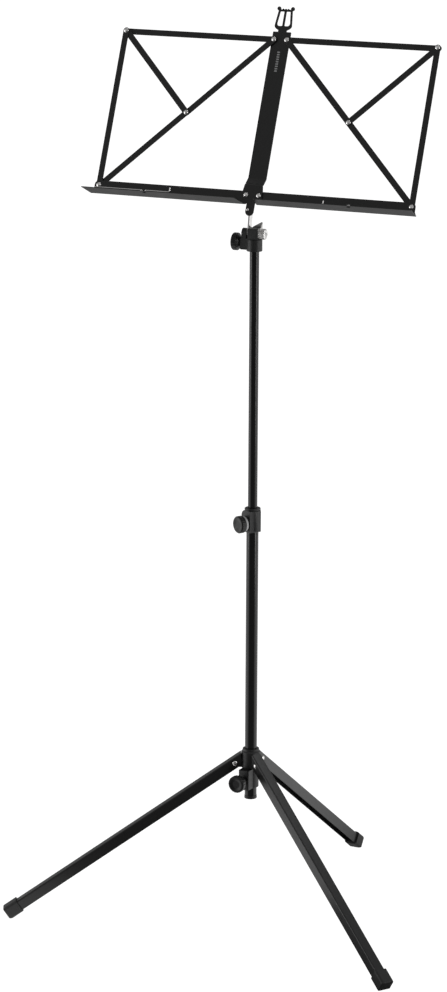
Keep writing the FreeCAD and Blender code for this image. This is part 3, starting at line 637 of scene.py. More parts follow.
def closed_mesh(name: str, work: bmesh.types.BMesh) -> bpy.types.Mesh:
    """Finish a mesh in progress: merged, faces outwards.

    Args:
        name: Name of the mesh.
        work: The mesh in progress, freed here.

    Returns:
        The mesh.
    """
    bmesh.ops.remove_doubles(work, verts=work.verts, dist=SAME_POINT)
    bmesh.ops.recalc_face_normals(work, faces=work.faces)
    mesh = bpy.data.meshes.new(name)
    work.to_mesh(mesh)
    work.free()
    return mesh


def soften(mesh: bpy.types.Mesh, angle: float = 32.0) -> None:
    """Smooth shading with creases kept.

    Args:
        mesh: The mesh.
        angle: Creases above this many degrees stay sharp.
    """
    mesh.shade_smooth()
    mesh.set_sharp_from_angle(angle=math.radians(angle))


def round_edges(piece: bpy.types.Object, width: float, segments: int = 2) -> None:
    """Round the sharp edges of a piece.

    Args:
        piece: The piece.
        width: Width of the rounding in metres.
        segments: Facets across the rounding.
    """
    bevel = piece.modifiers.new("round_edges", "BEVEL")
    bevel.width = width
    bevel.segments = segments
    bevel.limit_method = "ANGLE"
    bevel.angle_limit = SHARP_ANGLE
    bevel.harden_normals = True
    bevel.use_clamp_overlap = True


def coat(piece: bpy.types.Object, finish: Finish) -> None:
    """Put a finish on a piece in place of what it has.

    Args:
        piece: The piece.
        finish: The finish.
    """
    piece.data.materials.clear()
    piece.data.materials.append(finish.material())


@dataclass
class Piece:
    """One finished piece and how it goes with the frame."""

    body: str
    finish: Finish
    stands_for: tuple[str, ...] = ()

    def settle(self, piece: bpy.types.Object) -> bpy.types.Object:
        """Dress a piece, make it ride on its body and report it.

        Args:
            piece: The object, at the origin with its place in its mesh.

        Returns:
            The same object.
        """
        coat(piece, self.finish)
        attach(piece, self.body)
        if self.stands_for:
            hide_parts(*self.stands_for)
        LOG.info("%s rides on %s, %d faces", piece.name, self.body, len(piece.data.polygons))
        return piece


def body_of(node: str) -> str:
    """Body that carries a CAD node.

    Args:
        node: Name of the node.

    Returns:
        Name of the body.
    """
    groups = frame["record"]["behaviour"]["bodies"]
    return next(body for body, nodes in groups.items() if node in nodes)


def span(node: str, direction: Vector, origin: Vector) -> tuple[float, float]:
    """Reach of a CAD node along a direction.

    Args:
        node: Name of the node.
        direction: Unit direction.
        origin: Point from which the reach is measured.

    Returns:
        The lowest and the highest distance.
    """
    reach = [direction.dot(v.co - origin) for v in frame["nodes"][node].data.vertices]
    return min(reach), max(reach)


def joint(name: str) -> dict:
    """A joint of the record.

    Args:
        name: Name of the joint.

    Returns:
        The joint's entry.
    """
    return next(entry for entry in frame["joints"] if entry["name"] == name)


@dataclass
class RoundedPart:
    """A CAD solid carried over with its edges rounded as the real part's are."""

    node: str
    finish: Finish
    width: float = 0.25 * MM
    segments: int = 2

    def build(self) -> bpy.types.Object:
        """Copy, merge and round the node.

        Returns:
            The piece.
        """
        work = bmesh.new()
        work.from_mesh(frame["nodes"][self.node].data)
        bmesh.ops.remove_doubles(work, verts=work.verts, dist=SAME_CAD_POINT)
        bmesh.ops.dissolve_limit(
            work, angle_limit=FLAT_ANGLE, verts=work.verts, edges=work.edges
        )
        mesh = bpy.data.meshes.new(self.node + "_finished")
        work.to_mesh(mesh)
        work.free()
        soften(mesh)
        piece = link(self.node + "_finished", mesh)
        round_edges(piece, self.width, self.segments)
        return Piece(body_of(self.node), self.finish, (self.node,)).settle(piece)


def dress(node: str, finish: Finish) -> None:
    """Give a carried-over CAD node its finish.

    Args:
        node: Name of the node.
        finish: The finish.
    """
    coat(frame["nodes"][node], finish)
    LOG.info("%s carried over in %s", node, finish.title)


# ---------------------------------------------------------------- geometry nodes
class Recipe:
    """A Geometry Nodes tree with named inputs that ends in one mesh."""

    title = "recipe"
    sizes: dict[str, float] = {}

    def __init__(self) -> None:
        """Make the tree with its inputs, then lay out its nodes."""
        self.tree = bpy.data.node_groups.new(self.title, "GeometryNodeTree")
        face = self.tree.interface
        face.new_socket("Geometry", in_out="INPUT", socket_type="NodeSocketGeometry")
        for label, value in self.sizes.items():
            kind = "NodeSocketInt" if isinstance(value, int) else "NodeSocketFloat"
            face.new_socket(label, in_out="INPUT", socket_type=kind).default_value = value
        face.new_socket("Material", in_out="INPUT", socket_type="NodeSocketMaterial")
        face.new_socket("Geometry", in_out="OUTPUT", socket_type="NodeSocketGeometry")
        self.bench = NodeBench(self.tree)
        self.entry = self.bench.add("NodeGroupInput")
        realised = self.bench.add("GeometryNodeRealizeInstances", {}, {"Geometry": self.layout()})
        dressed = self.bench.add(
            "GeometryNodeSetMaterial",
            {},
            {"Geometry": realised.outputs[0], "Material": self.entry.outputs["Material"]},
        )
        self.bench.add("NodeGroupOutput", {}, {"Geometry": dressed.outputs[0]})

    def layout(self) -> bpy.types.NodeSocket:
        """Lay out the nodes.

        Returns:
            The socket that carries the geometry.
        """
        raise NotImplementedError

    def size(self, label: str) -> Signal:
        """A named input as a number.

        Args:
            label: Name of the input.

        Returns:
            The number.
        """
        return self.bench.number(self.entry, label)

    def make(self, piece: bpy.types.Object, finish: Finish, sizes: dict[str, float]) -> None:
        """Run the tree on a piece and keep the resulting mesh.

        Args:
            piece: Object whose mesh is the tree's input.
            finish: Finish of the result.
            sizes: Values of the named inputs.
        """
        modifier = piece.modifiers.new(self.title, "NODES")
        modifier.node_group = self.tree
        values = {**sizes, "Material": finish.material()}
        for item in self.tree.interface.items_tree:
            if item.in_out == "INPUT" and item.name in values:
                modifier[item.identifier] = values[item.name]
        depsgraph = bpy.context.evaluated_depsgraph_get()
        result = bpy.data.meshes.new_from_object(piece.evaluated_get(depsgraph))
        piece.modifiers.remove(modifier)
        piece.data = result
        soften(result)


class RivetRecipe(Recipe):
    """Domed rivets on points, each along the point's own axis."""

    title = "rivets"
    sizes = {"Head radius": 3.5 * MM, "Dome height": 1.3 * MM, "Shank radius": 2.0 * MM,
             "Shank length": 5.0 * MM}

    def layout(self) -> bpy.types.NodeSocket:
        """Lay out the dome, the shank and their instances.

        Returns:
            The instances.
        """
        bench = self.bench
        ball = bench.add(
            "GeometryNodeMeshUVSphere", {}, {"Segments": 32, "Rings": 18, "Radius": 1.0}
        )
        spot = bench.add("GeometryNodeInputPosition")
        axes = bench.add("ShaderNodeSeparateXYZ", {}, {0: spot.outputs[0]})
        radius = self.size("Head radius")
        raised = bench.number(axes, "Z").math("MAXIMUM", 0.0) * self.size("Dome height")
        moved = bench.add(
            "ShaderNodeCombineXYZ",
            {},
            {
                "X": bench.number(axes, "X") * radius,
                "Y": bench.number(axes, "Y") * radius,
                "Z": raised,
            },
        )
        dome = bench.add(
            "GeometryNodeSetPosition",
            {},
            {"Geometry": ball.outputs[0], "Position": moved.outputs[0]},
        )
        length = self.size("Shank length")
        shank = bench.add(
            "GeometryNodeMeshCylinder",
            {},
            {"Vertices": 24, "Radius": self.size("Shank radius"), "Depth": length},
        )
        drop = bench.add("ShaderNodeCombineXYZ", {}, {"Z": length * -0.5})
        seated = bench.add(
            "GeometryNodeTransform",
            {},
            {"Geometry": shank.outputs[0], "Translation": drop.outputs[0]},
        )
        rivet = bench.add("GeometryNodeJoinGeometry")
        for part in (dome, seated):
            self.tree.links.new(part.outputs[0], rivet.inputs[0])
        axis = bench.add(
            "GeometryNodeInputNamedAttribute", {"data_type": "FLOAT_VECTOR"}, {"Name": "axis"}
        )
        turn = bench.add(
            "FunctionNodeAlignRotationToVector", {"axis": "Z"}, {"Vector": axis.outputs[0]}
        )
        placed = bench.add(
            "GeometryNodeInstanceOnPoints",
            {},
            {
                "Points": self.entry.outputs["Geometry"],
                "Instance": rivet.outputs[0],
                "Rotation": turn.outputs[0],
            },
        )
        return placed.outputs[0]


class WireRecipe(Recipe):
    """Round wire along a path of straight runs with round bends."""

    title = "bent_wire"
    sizes = {"Wire radius": 0.9 * MM, "Bend radius": 2.4 * MM}

    def layout(self) -> bpy.types.NodeSocket:
        """Lay out the path, its bends and the round section.

        Returns:
            The wire.
        """
        bench = self.bench
        path = bench.add("GeometryNodeMeshToCurve", {}, {0: self.entry.outputs["Geometry"]})
        bends = bench.add(
            "GeometryNodeFilletCurve",
            {"mode": "POLY"},
            {"Curve": path.outputs[0], "Count": 8, "Radius": self.size("Bend radius"),
             "Limit Radius": True},
        )
        section = bench.add(
            "GeometryNodeCurvePrimitiveCircle",
            {},
            {"Resolution": 16, "Radius": self.size("Wire radius")},
        )
        wire = bench.add(
            "GeometryNodeCurveToMesh",
            {},
            {"Curve": bends.outputs[0], "Profile Curve": section.outputs[0], "Fill Caps": True},
        )
        return wire.outputs[0]


class FluteRecipe(Recipe):
    """Flutes pressed into the rim of a turned grip about Z."""

    title = "flutes"
    sizes = {"Flutes": 18, "Depth": 0.35 * MM, "Sharpness": 3.0}

    def layout(self) -> bpy.types.NodeSocket:
        """Lay out the radial waves.

        Returns:
            The fluted grip.
        """
        bench = self.bench
        spot = bench.add("GeometryNodeInputPosition")
        axes = bench.add("ShaderNodeSeparateXYZ", {}, {0: spot.outputs[0]})
        across, along = bench.number(axes, "X"), bench.number(axes, "Y")
        turn = along.math("ARCTAN2", across)
        wave = ((turn * self.size("Flutes")).math("COSINE") * 0.5 + 0.5) ** self.size("Sharpness")
        rim = bench.add("GeometryNodeInputNamedAttribute", {"data_type": "FLOAT"}, {"Name": "rim"})
        press = wave * self.size("Depth") * bench.number(rim, 0) * -1.0
        offset = bench.add(
            "ShaderNodeCombineXYZ",
            {},
            {"X": turn.math("COSINE") * press, "Y": turn.math("SINE") * press},
        )
        moved = bench.add(
            "GeometryNodeSetPosition",
            {},
            {"Geometry": self.entry.outputs["Geometry"], "Offset": offset.outputs[0]},
        )
        return moved.outputs[0]


RIVETS = RivetRecipe()
WIRES = WireRecipe()
FLUTES = FluteRecipe()


def rivets(
    name: str, spots: Iterable[tuple[Vector, Vector]], sizes: dict[str, float], setting: Piece
) -> bpy.types.Object:
    """A set of rivets in one mesh.

    Args:
        name: Name of the piece.
        spots: Foot of each dome and the direction it points in.
        sizes: Inputs of the rivet tree.
        setting: Body, finish and nodes of the piece.

    Returns:
        The piece.
    """
    spots = list(spots)
    mesh = bpy.data.meshes.new(name)
    mesh.from_pydata([tuple(place) for place, _ in spots], [], [])
    axis = mesh.attributes.new("axis", "FLOAT_VECTOR", "POINT")
    for index, (_, direction) in enumerate(spots):
        axis.data[index].vector = direction
    piece = link(name, mesh)
    RIVETS.make(piece, setting.finish, sizes)
    return setting.settle(piece)


def fluted(
    name: str,
    outline: Sequence[Vector],
    rim_radius: float,
    sizes: dict[str, float],
    place: Matrix,
    setting: Piece,
) -> bpy.types.Object:
    """A turned grip with flutes round its rim.

    Args:
        name: Name of the piece.
        outline: Outline of (radius, height).
        rim_radius: Points at least this far out are fluted.
        sizes: Inputs of the flute tree.
        place: Where the grip's own frame lies in the row frame.
        setting: Body, finish and nodes of the piece.

    Returns:
        The piece.
    """
    mesh = turned_mesh(name, outline, 216)
    rim = mesh.attributes.new("rim", "FLOAT", "POINT")
    for index, vertex in enumerate(mesh.vertices):
        rim.data[index].value = 1.0 if vertex.co.xy.length >= rim_radius else 0.0
    piece = link(name, mesh)
    FLUTES.make(piece, setting.finish, sizes)
    piece.data.transform(place)
    return setting.settle(piece)


def placed(origin: Vector, x_axis: Vector, z_axis: Vector) -> Matrix:
    """Matrix of a frame given by its origin and two axes.

    Args:
        origin: Origin of the frame.
        x_axis: Its X axis.
        z_axis: Its Z axis.

    Returns:
        The matrix.
    """
    y_axis = z_axis.cross(x_axis)
    turn = Matrix((x_axis, y_axis, z_axis)).transposed().to_4x4()
    return Matrix.Translation(origin) @ turn


# ---------------------------------------------------------------- sub-assemblies
@dataclass
class Knob:
    """Round clamping knob with a dished face, a fluted rim and a tapered skirt."""

    station: str
    radius: float = 13.0 * MM
    thickness: float = 8.5 * MM
    skirt: float = 10.5 * MM
    foot: float = 6.0 * MM
    dish: float = 1.3 * MM
    flutes: int = 18
    flute_depth: float = 0.35 * MM
    neck: bool = False

    def build(self) -> None:
        """Build the grip on its screw, with a pale neck where the clamp has one."""
        turn = joint(self.station + "_knob_turn")
        outward = Vector(turn["axis"]).normalized()
        origin = Vector(turn["pos_m"])
        place = placed(origin, Vector((0, 0, 1)), outward)
        start, face = span(self.station + "_knob", outward, origin)
        rim = face - self.thickness
        outline = rounded([
            (0, start, 0), (self.foot, start, 0.5 * MM), (self.skirt, rim - 0.6 * MM, 0.4 * MM),
            (self.radius * 0.93, rim, 0.4 * MM), (self.radius, rim + 0.8 * MM, 0.5 * MM),
            (self.radius, face - 1.4 * MM, 0.9 * MM), (self.radius * 0.90, face, 0.8 * MM),
            (self.radius * 0.74, face - 0.05 * MM, 1.6 * MM),
            (self.radius * 0.45, face - self.dish, 2.4 * MM), (0, face - self.dish, 0),
        ], closed=False, steps=6)
        node = self.station + "_knob"
        fluted(
            node + "_grip", outline, self.radius * 0.97,
            {"Flutes": self.flutes, "Depth": self.flute_depth, "Sharpness": 4.0}, place,
            Piece(body_of(node), FINISHES.knob, (node,)),
        )
        if self.neck:
            self.build_neck(place, start, rim)
        dress(self.station + "_screw", FINISHES.zinc)

    def build_neck(self, place: Matrix, start: float, rim: float) -> None:
        """Build the pale washer between skirt and clamp.

        Args:
            place: Frame of the knob.
            start: Height of the skirt's foot.
            rim: Height of the back of the rim.
        """
        outline = rounded([
            (self.foot * 0.6, start + 0.3 * MM, 0),
            (self.radius * 0.90, start + 2.2 * MM, 0.5 * MM),
            (self.radius * 0.95, rim - 0.2 * MM, 0.4 * MM),
            (self.foot * 0.6, rim - 0.2 * MM, 0),
        ])
        mesh = turned_mesh(self.station + "_neck", outline, 96, ring=True)
        soften(mesh)
        mesh.transform(place)
        piece = link(self.station + "_neck", mesh)
        Piece(body_of(self.station + "_knob"), FINISHES.neck).settle(piece)


@dataclass
class Tripod:
    """Three folded-steel legs on the sliding hub."""

    rivet_radius: float = 3.75 * MM
    dome: float = 1.7 * MM
    shank: float = 2.5 * MM
    channel_width: float = 16.0 * MM
    dome_gap: float = 0.12 * MM

    def build(self) -> None:
        """Build legs, foot caps, hub and rivets."""
        for leg in ("rear", "left", "right"):
            RoundedPart("leg_channel_" + leg, FINISHES.legs, 0.22 * MM).build()
            RoundedPart("foot_cap_" + leg, FINISHES.foot, 0.6 * MM, 3).build()
        RoundedPart("hub_casting", FINISHES.moulded, 0.4 * MM, 3).build()
        dress("hub_nut", FINISHES.zinc)
        self.build_rivets()
        Knob("hub").build()

    def build_rivets(self) -> None:
        """Build both domes of each leg rivet."""
        spots = []
        reach = self.channel_width / 2 + self.dome_gap
        for leg in ("rear", "left", "right"):
            fold = joint("leg_fold_" + leg)
            centre, axis = Vector(fold["pos_m"]), Vector(fold["axis"]).normalized()
            for way in (1, -1):
                spots.append((centre + axis * way * reach, axis * way))
        sizes = {
            "Head radius": self.rivet_radius, "Dome height": self.dome,
            "Shank radius": self.shank, "Shank length": self.channel_width / 2,
        }
        rivets("leg_rivet_domes", spots, sizes, Piece("hub", FINISHES.bright, ("leg_rivets",)))


@dataclass
class Column:
    """Two telescoping tubes and the clamp between them."""

    lower_radius: float = 9.0 * MM
    upper_radius: float = 7.0 * MM
    wall: float = 1.2 * MM

    def build(self) -> None:
        """Build the tubes, the clamp and its knob."""
        self.build_tube("lower_tube", self.lower_radius)
        self.build_tube("upper_tube", self.upper_radius)
        RoundedPart("lower_tube_cap", FINISHES.moulded, 0.2 * MM).build()
        RoundedPart("clamp_yoke", FINISHES.moulded, 0.5 * MM, 3).build()
        RoundedPart("clamp_collar", FINISHES.moulded, 0.3 * MM).build()
        dress("upper_tube_guide", FINISHES.moulded)
        Knob("clamp", neck=True).build()

    def build_tube(self, node: str, radius: float) -> None:
        """Build one tube with softly broken ends.

        Args:
            node: CAD node of the tube.
            radius: Outer radius.
        """
        low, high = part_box(node)
        bore = radius - self.wall
        outline = rounded([
            (bore, low.z, 0.3 * MM), (radius, low.z, 0.5 * MM),
            (radius, high.z, 0.5 * MM), (bore, high.z, 0.3 * MM),
        ])
        mesh = turned_mesh(node + "_drawn", outline, 128, ring=True)
        soften(mesh)
        Piece(body_of(node), FINISHES.tube, (node,)).settle(link(node + "_drawn", mesh))


@dataclass
class TiltHead:
    """Head on the upper tube with the plated angle, the tilt bolt and its toothed nut."""

    nut_radius: float = 8.0 * MM
    teeth: int = 20
    tooth: float = 0.8 * MM
    bore: float = 3.0 * MM

    def build(self) -> None:
        """Build the head and its hardware."""
        RoundedPart("head_body", FINISHES.moulded, 0.45 * MM, 3).build()
        RoundedPart("head_bracket", FINISHES.bright, 0.2 * MM).build()
        RoundedPart("tilt_tongue", FINISHES.bright, 0.25 * MM).build()
        dress("tilt_bolt", FINISHES.zinc)
        dress("head_nut", FINISHES.zinc)
        self.build_nut()
        Knob("head").build()

    def build_nut(self) -> None:
        """Build the toothed nut about the tilt axis."""
        origin = Vector(joint("desk_tilt")["pos_m"])
        across = Vector((1, 0, 0))
        start, end = span("tilt_nut", across, origin)
        outline = rounded([
            (0, start, 0), (self.nut_radius - 1.0 * MM, start, 0.2 * MM),
            (self.nut_radius, start + 0.9 * MM, 0.3 * MM),
            (self.nut_radius, end - 0.9 * MM, 0.3 * MM),
            (self.nut_radius - 1.4 * MM, end, 0.3 * MM), (self.bore * 1.5, end, 0.2 * MM),
            (self.bore * 1.35, end - 0.5 * MM, 0.2 * MM), (0, end - 0.5 * MM, 0),
        ], closed=False)
        sizes = {"Flutes": self.teeth, "Depth": self.tooth, "Sharpness": 1.5}
        place = placed(origin, Vector((0, 0, 1)), across)
        setting = Piece("head", FINISHES.bright, ("tilt_nut",))
        fluted("tilt_nut_teeth", outline, self.nut_radius * 0.9, sizes, place, setting)


@dataclass(frozen=True)
class DeskFrame:
    """The plane of the desk: X across, Y up the desk, Z towards the reader."""

    origin: Vector
    up: Vector
    front: Vector

    @classmethod
    def from_record(cls) -> "DeskFrame":
        """Read the plane from the joints.

        Returns:
            The plane.
        """
        front = Vector(joint("tray_fold_right")["axis"]).normalized()
        across = Vector((1, 0, 0))
        return cls(Vector(joint("desk_tilt")["pos_m"]), front.cross(across), front)

    @property
    def place(self) -> Matrix:
        """Matrix from desk coordinates to the row frame."""
        return placed(self.origin, Vector((1, 0, 0)), self.front)

    def flat(self, point: Sequence[float]) -> Vector:
        """A point of the row frame in the desk's own two coordinates.

        Args:
            point: The point.

        Returns:
            Its place across and up the desk.
        """
        offset = Vector(point) - self.origin
        return Vector((offset.x, offset.dot(self.up)))

    def depth(self, node: str) -> tuple[float, float]:
        """Back and front of a CAD node.

        Args:
            node: Name of the node.

        Returns:
            The two heights above the desk plane.
        """
        return span(node, self.front, self.origin)

    def spot(self, point: Vector, height: float) -> tuple[Vector, Vector]:
        """Foot of a rivet dome in the row frame.

        Args:
            point: Place on the desk.
            height: Height above the desk plane.

        Returns:
            The place and the direction towards the reader.
        """
        place = self.place @ Vector((point.x, point.y, height))
        return place, self.front


@dataclass
class Desk:
    """Spine with the lyre, and everything fixed to it."""

    plane: DeskFrame
    head_radius: float = 3.5 * MM
    dome: float = 1.3 * MM
    shank: float = 2.0 * MM
    tab_share: float = 0.58
    layer_gap: float = 0.2 * MM
    marks: int = 9
    marks_drop: float = 19.0 * MM
    marks_pitch: float = 3.6 * MM
    mark_half: tuple[float, float] = (2.0 * MM, 1.1 * MM)
    ink: tuple[float, float] = (0.01 * MM, 0.05 * MM)

    def build(self) -> None:
        """Build the spine, its rivets and its printed marks."""
        RoundedPart("desk_spine", FINISHES.frame, 0.25 * MM).build()
        rows = {
            "spine_foot_rivets": "tray_fold_",
            "spine_top_rivets": "top_bar_fold_",
        }
        for node, fold in rows.items():
            points = [self.plane.flat(joint(fold + side.word)["pos_m"]) for side in Side]
            self.build_rivets(node, points, "desk")
        low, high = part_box("tab_rivet")
        centre = self.plane.flat((low + high) / 2)
        self.build_rivets("tab_rivet", [centre], "desk", self.tab_share)
        self.build_marks()

    def build_rivets(
        self, node: str, points: Sequence[Vector], body: str, share: float = 1.0
    ) -> None:
        """Build the rivets of one CAD node.

        Args:
            node: The node that they stand for.
            points: Places on the desk.
            body: Body that carries them.
            share: Size of the rivets against a full one.
        """
        back, front = self.plane.depth(node)
        foot = front - self.dome
        sizes = {
            "Head radius": self.head_radius * share, "Dome height": self.dome,
            "Shank radius": self.shank * share, "Shank length": foot - back,
        }
        spots = [self.plane.spot(point, foot) for point in points]
        rivets(node + "_domes", spots, sizes, Piece(body, FINISHES.bright, (node,)))

    def build_marks(self) -> None:
        """Build a plain printed scale of short bars below the top rivets."""
        top = self.plane.flat(joint("top_bar_fold_right")["pos_m"]).y
        surface = self.plane.depth("top_bar_left")[0] - self.layer_gap
        half = Vector(self.mark_half)
        corners = [(-1, -1), (1, -1), (1, 1), (-1, 1)]
        work = bmesh.new()
        for index in range(self.marks):
            centre = top - self.marks_drop - index * self.marks_pitch
            rows = [
                [work.verts.new((x * half.x, centre + y * half.y, z)) for x, y in corners]
                for z in (surface + self.ink[0], surface + self.ink[1])
            ]
            work.faces.new(rows[0][::-1])
            work.faces.new(rows[1])
            for step in range(4):
                after = (step + 1) % 4
                work.faces.new((rows[0][step], rows[0][after], rows[1][after], rows[1][step]))
        mesh = closed_mesh("spine_marks", work)
        mesh.transform(self.plane.place)
        Piece("desk", FINISHES.print_ink).settle(link("spine_marks", mesh))


@dataclass
class Wing:
    """One folding half of the desk."""

    side: Side
    desk: Desk
    bar_width: float = 9.2 * MM
    wire_radius: float = 0.9 * MM
    wire_bend: float = 2.4 * MM
    long_arm: float = 78.0 * MM
    short_arm: float = 42.0 * MM
    hook: float = 7.0 * MM
    jog: float = 6.0 * MM
    washer: float = 3.5 * MM
    washer_thickness: float = 0.9 * MM
    stud_reach: float = 1.66 * MM  # stud radius and its running fit
    bar_edge: float = 0.24 * MM
    end_steps: int = 16

    def node(self, name: str) -> str:
        """Name of this side's node or body."""
        return name + "_" + self.side.word

    def pivot(self, fold: str) -> Vector:
        """Place of a fold joint on the desk."""
        return self.desk.plane.flat(joint(self.node(fold))["pos_m"])

    def build(self) -> None:
        """Build bars, tray, rivets and page retainer."""
        head = self.pivot("top_bar_fold")
        low, high = self.pivot("side_bar_fold"), self.pivot("brace_fold")
        knee = (head + low) / 2
        runs = {
            "top_bar": (head, high), "side_bar": (low, high), "upper_diagonal": (head, knee),
            "lower_diagonal": (low, knee), "brace": (high, knee),
        }
        for name, (start, finish) in runs.items():
            self.build_bar(name, start, finish)
        RoundedPart(self.node("tray"), FINISHES.frame, 0.2 * MM).build()
        self.desk.build_rivets(self.node("tray_rivet"), [low], self.node("tray"))
        self.desk.build_rivets(self.node("side_bar_rivet"), [high], self.node("side_bar"))
        self.desk.build_rivets(self.node("brace_stud"), [knee], self.node("brace"))
        dress(self.node("knee_pin"), FINISHES.bright)
        self.build_washer("tray_rivet", "lower_washer", low)
        self.build_retainer()

    def build_bar(self, name: str, start: Vector, finish: Vector) -> None:
        """Build one flat bar with round ends.

        Args:
            name: Name of the bar without its side.
            start: First rivet.
            finish: Last rivet.
        """
        along = (finish - start).normalized()
        across = Vector((-along.y, along.x))
        half = self.bar_width / 2
        outline = []
        for centre, way in ((finish, 1), (start, -1)):
            for step in range(self.end_steps + 1):
                angle = math.pi * (step / self.end_steps - 0.5)
                arm = along * math.cos(angle) + across * math.sin(angle)
                outline.append(centre + arm * half * way)
        back, front = self.desk.plane.depth(self.node(name))
        mesh = plate_mesh(self.node(name) + "_strip", outline, back, front)
        mesh.transform(self.desk.plane.place)
        soften(mesh)
        piece = link(self.node(name) + "_strip", mesh)
        round_edges(piece, self.bar_edge, 3)
        Piece(self.node(name), FINISHES.frame, (self.node(name),)).settle(piece)

    def build_washer(self, rivet: str, title: str, point: Vector) -> None:
        """Build the washer under a rivet head.

        Args:
            rivet: Node of the rivet without its side.
            title: Name of the washer without its side.
            point: Place on the desk.
        """
        back = self.desk.plane.depth(self.node("brace"))[0]
        front = back + self.washer_thickness
        outline = rounded([
            (self.desk.shank, back, 0.1 * MM), (self.washer, back, 0.2 * MM),
            (self.washer, front, 0.2 * MM), (self.desk.shank, front, 0.1 * MM),
        ])
        mesh = turned_mesh(self.node(title), outline, 48, ring=True)
        mesh.transform(Matrix.Translation((point.x, point.y, 0)))
        mesh.transform(self.desk.plane.place)
        soften(mesh)
        piece = link(self.node(title), mesh)
        Piece(body_of(self.node(rivet)), FINISHES.bright).settle(piece)

    def build_retainer(self) -> None:
        """Build the page retainer wire and its headed stud."""
        swing = joint(self.node("retainer_swing"))
        up, front = self.desk.plane.up, self.desk.plane.front
        stud = Vector(swing["pos_m"])
        wire_low, _ = span(self.node("retainer_wire"), up, stud)
        across = Vector((self.side.value, 0, 0))
        centre = stud + up * (wire_low + self.wire_radius)
        reach = self.stud_reach + self.wire_radius
        way = 1 if self.side is Side.LEFT else -1
        arm, bow = front * self.jog * way, front * -reach * way
        points = [
            centre + across * self.long_arm + arm, centre + across * reach + arm,
            centre + across * reach + bow, centre - across * reach + bow,
            centre - across * reach + arm, centre - across * self.short_arm + arm,
            centre - across * self.short_arm + arm + up * self.hook,
        ]
        name = self.node("retainer_wire")
        mesh = bpy.data.meshes.new(name)
        edges = [(index, index + 1) for index in range(len(points) - 1)]
        mesh.from_pydata([tuple(point) for point in points], edges, [])
        piece = link(name + "_bent", mesh)
        WIRES.make(
            piece, FINISHES.bright, {"Wire radius": self.wire_radius, "Bend radius": self.wire_bend}
        )
        Piece(body_of(name), FINISHES.bright, (name,)).settle(piece)
        RoundedPart(self.node("retainer_stud"), FINISHES.frame, 0.15 * MM).build()


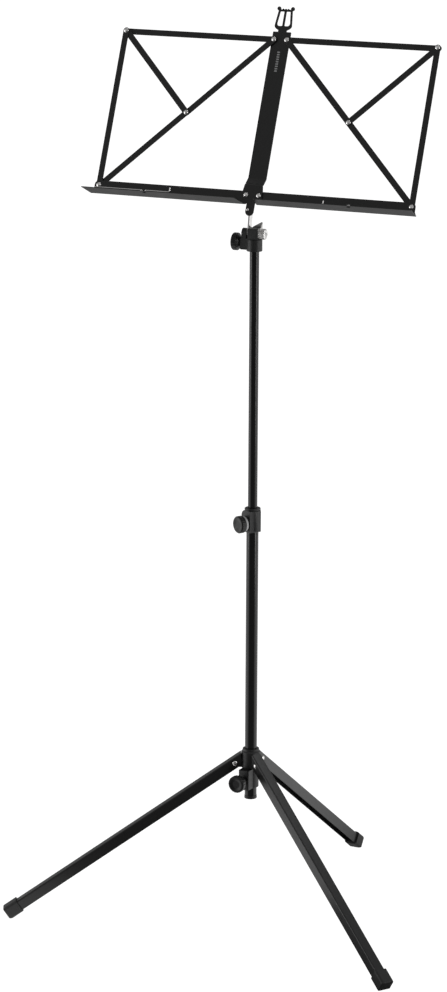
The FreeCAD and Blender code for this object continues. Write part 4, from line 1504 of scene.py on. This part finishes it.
@dataclass
class Studio:
    """Pale floor, soft light and the camera."""

    camera_place: Corner = (2.0549, -5.0884, 2.0072)
    right: Corner = (0.92376, 0.38293, 0.00515)
    forward: Corner = (-0.37070, 0.89748, -0.23897)
    lens: float = 138.35
    sensor: float = 36.0
    clip_end: float = 300.0
    floor_half: float = 60.0
    side_glow: float = 1.0
    roof_glow: float = 0.28
    floor_glow: float = 0.04
    back_shade: float = 0.8
    front_edge: tuple[float, float] = (-0.66, -0.36)
    back_edge: tuple[float, float] = (0.58, 0.94)
    wall_edge: tuple[float, float] = (0.15, 0.60)
    roof_edge: tuple[float, float] = (0.0, 0.5)

    def build(self) -> None:
        """Build the whole studio."""
        self.build_floor()
        self.build_world()
        self.build_lights()
        self.build_camera()

    @property
    def ahead(self) -> Vector:
        """Level direction in which the camera looks."""
        return Vector((self.forward[0], self.forward[1], 0)).normalized()

    def surround(
        self, bench: NodeBench, direction: bpy.types.NodeSocket, height: Signal
    ) -> Signal:
        """Brightness of the light tent in a direction: bright at the sides, dark in front.

        Args:
            bench: Bench of the tree.
            direction: Direction away from the stand.
            height: Upward part of that direction.

        Returns:
            The brightness.
        """
        ahead = bench.add(
            "ShaderNodeVectorMath",
            {"operation": "DOT_PRODUCT"},
            {0: direction, 1: tuple(self.ahead)},
        )
        toward = bench.number(ahead, "Value")
        shade = toward.step(*self.back_edge) * self.back_shade
        sides = toward.step(*self.front_edge) * (1.0 - shade)
        low = 1.0 - height.step(*self.wall_edge)
        roof = height.step(*self.roof_edge) * self.roof_glow
        return sides * low * self.side_glow + roof + self.floor_glow

    def lit(self, bench: NodeBench, glow: Signal) -> Signal:
        """White where the lens sees it, and the tent's brightness for everything else.

        Args:
            bench: Bench of the tree.
            glow: Brightness of the tent.

        Returns:
            The brightness.
        """
        seen = bench.number(bench.add("ShaderNodeLightPath"), "Is Camera Ray")
        return glow * (1.0 - seen) + seen

    def build_floor(self) -> None:
        """Build the pale floor."""
        half = self.floor_half
        mesh = bpy.data.meshes.new("floor")
        corners = [(-half, -half, 0), (half, -half, 0), (half, half, 0), (-half, half, 0)]
        mesh.from_pydata(corners, [], [(0, 1, 2, 3)])
        floor = link("floor", mesh)
        material = bpy.data.materials.new("pale_floor")
        bench = fresh_bench(material)
        place = bench.add("ShaderNodeTexCoord").outputs["Object"]
        away = bench.add("ShaderNodeVectorMath", {"operation": "NORMALIZE"}, {0: place})
        axes = bench.add("ShaderNodeSeparateXYZ", {}, {"Vector": place})
        glow = self.surround(bench, away.outputs[0], bench.number(axes, "Z"))
        grain = bench.noise(place, 9.0, 2.0) * 0.02 + 0.99
        colour = bench.blend(grey(0.0), grey(1.0), self.lit(bench, glow) * grain)
        shader = bench.add(
            "ShaderNodeBsdfPrincipled",
            {},
            {"Base Color": grey(0.25), "Roughness": 0.9, "Specular IOR Level": 0.1,
             "Emission Color": colour, "Emission Strength": 1.0},
        )
        bench.add("ShaderNodeOutputMaterial", {}, {"Surface": shader.outputs[0]})
        mesh.materials.append(material)

    def build_world(self) -> None:
        """Build the light tent round the stand."""
        world = bpy.data.worlds.new("studio")
        bpy.context.scene.world = world
        bench = fresh_bench(world)
        place = bench.add("ShaderNodeTexCoord").outputs["Generated"]
        height = bench.number(bench.add("ShaderNodeSeparateXYZ", {}, {0: place}), "Z")
        strength = self.lit(bench, self.surround(bench, place, height))
        back = bench.add("ShaderNodeBackground", {}, {"Color": grey(1.0), "Strength": strength})
        bench.add("ShaderNodeOutputWorld", {}, {"Surface": back.outputs[0]})

    def build_lights(self) -> None:
        """Build two tall soft boxes beside the stand, a weak one above and a small key."""
        boxes = {
            "left_box": ((-2.9, -1.7, 1.0), (0.0, 0.0, 0.7), (0.35, 2.2), 14.0),
            "right_box": ((3.0, -0.4, 1.0), (0.0, 0.0, 0.7), (0.35, 2.2), 14.0),
            "top_box": ((0.4, 1.2, 3.2), (0.0, 0.0, 0.8), (1.0, 1.0), 9.0),
            "key_box": ((2.3, -2.8, 2.4), (0.0, 0.0, 1.0), (0.45, 0.45), 9.0),
        }
        for name, (place, target, size, power) in boxes.items():
            light = bpy.data.lights.new(name, "AREA")
            light.shape = "RECTANGLE"
            light.size, light.size_y = size
            light.energy = power
            lamp = bpy.data.objects.new(name, light)
            bpy.context.scene.collection.objects.link(lamp)
            lamp.location = place
            aim = Vector(target) - Vector(place)
            lamp.rotation_euler = aim.to_track_quat("-Z", "Y").to_euler()

    def build_camera(self) -> None:
        """Build the camera."""
        forward = Vector(self.forward).normalized()
        right = Vector(self.right)
        right = (right - forward * right.dot(forward)).normalized()
        turn = Matrix((right, right.cross(forward), -forward)).transposed().to_4x4()
        lens = bpy.data.cameras.new("camera")
        lens.lens = self.lens
        lens.sensor_width = self.sensor
        lens.clip_end = self.clip_end
        lens.dof.use_dof = False
        camera = bpy.data.objects.new("camera", lens)
        bpy.context.scene.collection.objects.link(camera)
        camera.matrix_world = Matrix.Translation(Vector(self.camera_place)) @ turn
        bpy.context.scene.camera = camera


def main() -> None:
    """Build the stand piece by piece, then the studio."""
    logging.basicConfig(level=logging.INFO, format="%(name)s %(message)s")
    scene = bpy.context.scene
    scene.view_settings.view_transform = "Standard"
    scene.view_settings.look = "None"
    Tripod().build()
    Column().build()
    TiltHead().build()
    desk = Desk(DeskFrame.from_record())
    desk.build()
    for side in Side:
        Wing(side, desk).build()
    Studio().build()
    bpy.context.view_layer.update()


if __name__ == "__main__":
    main()
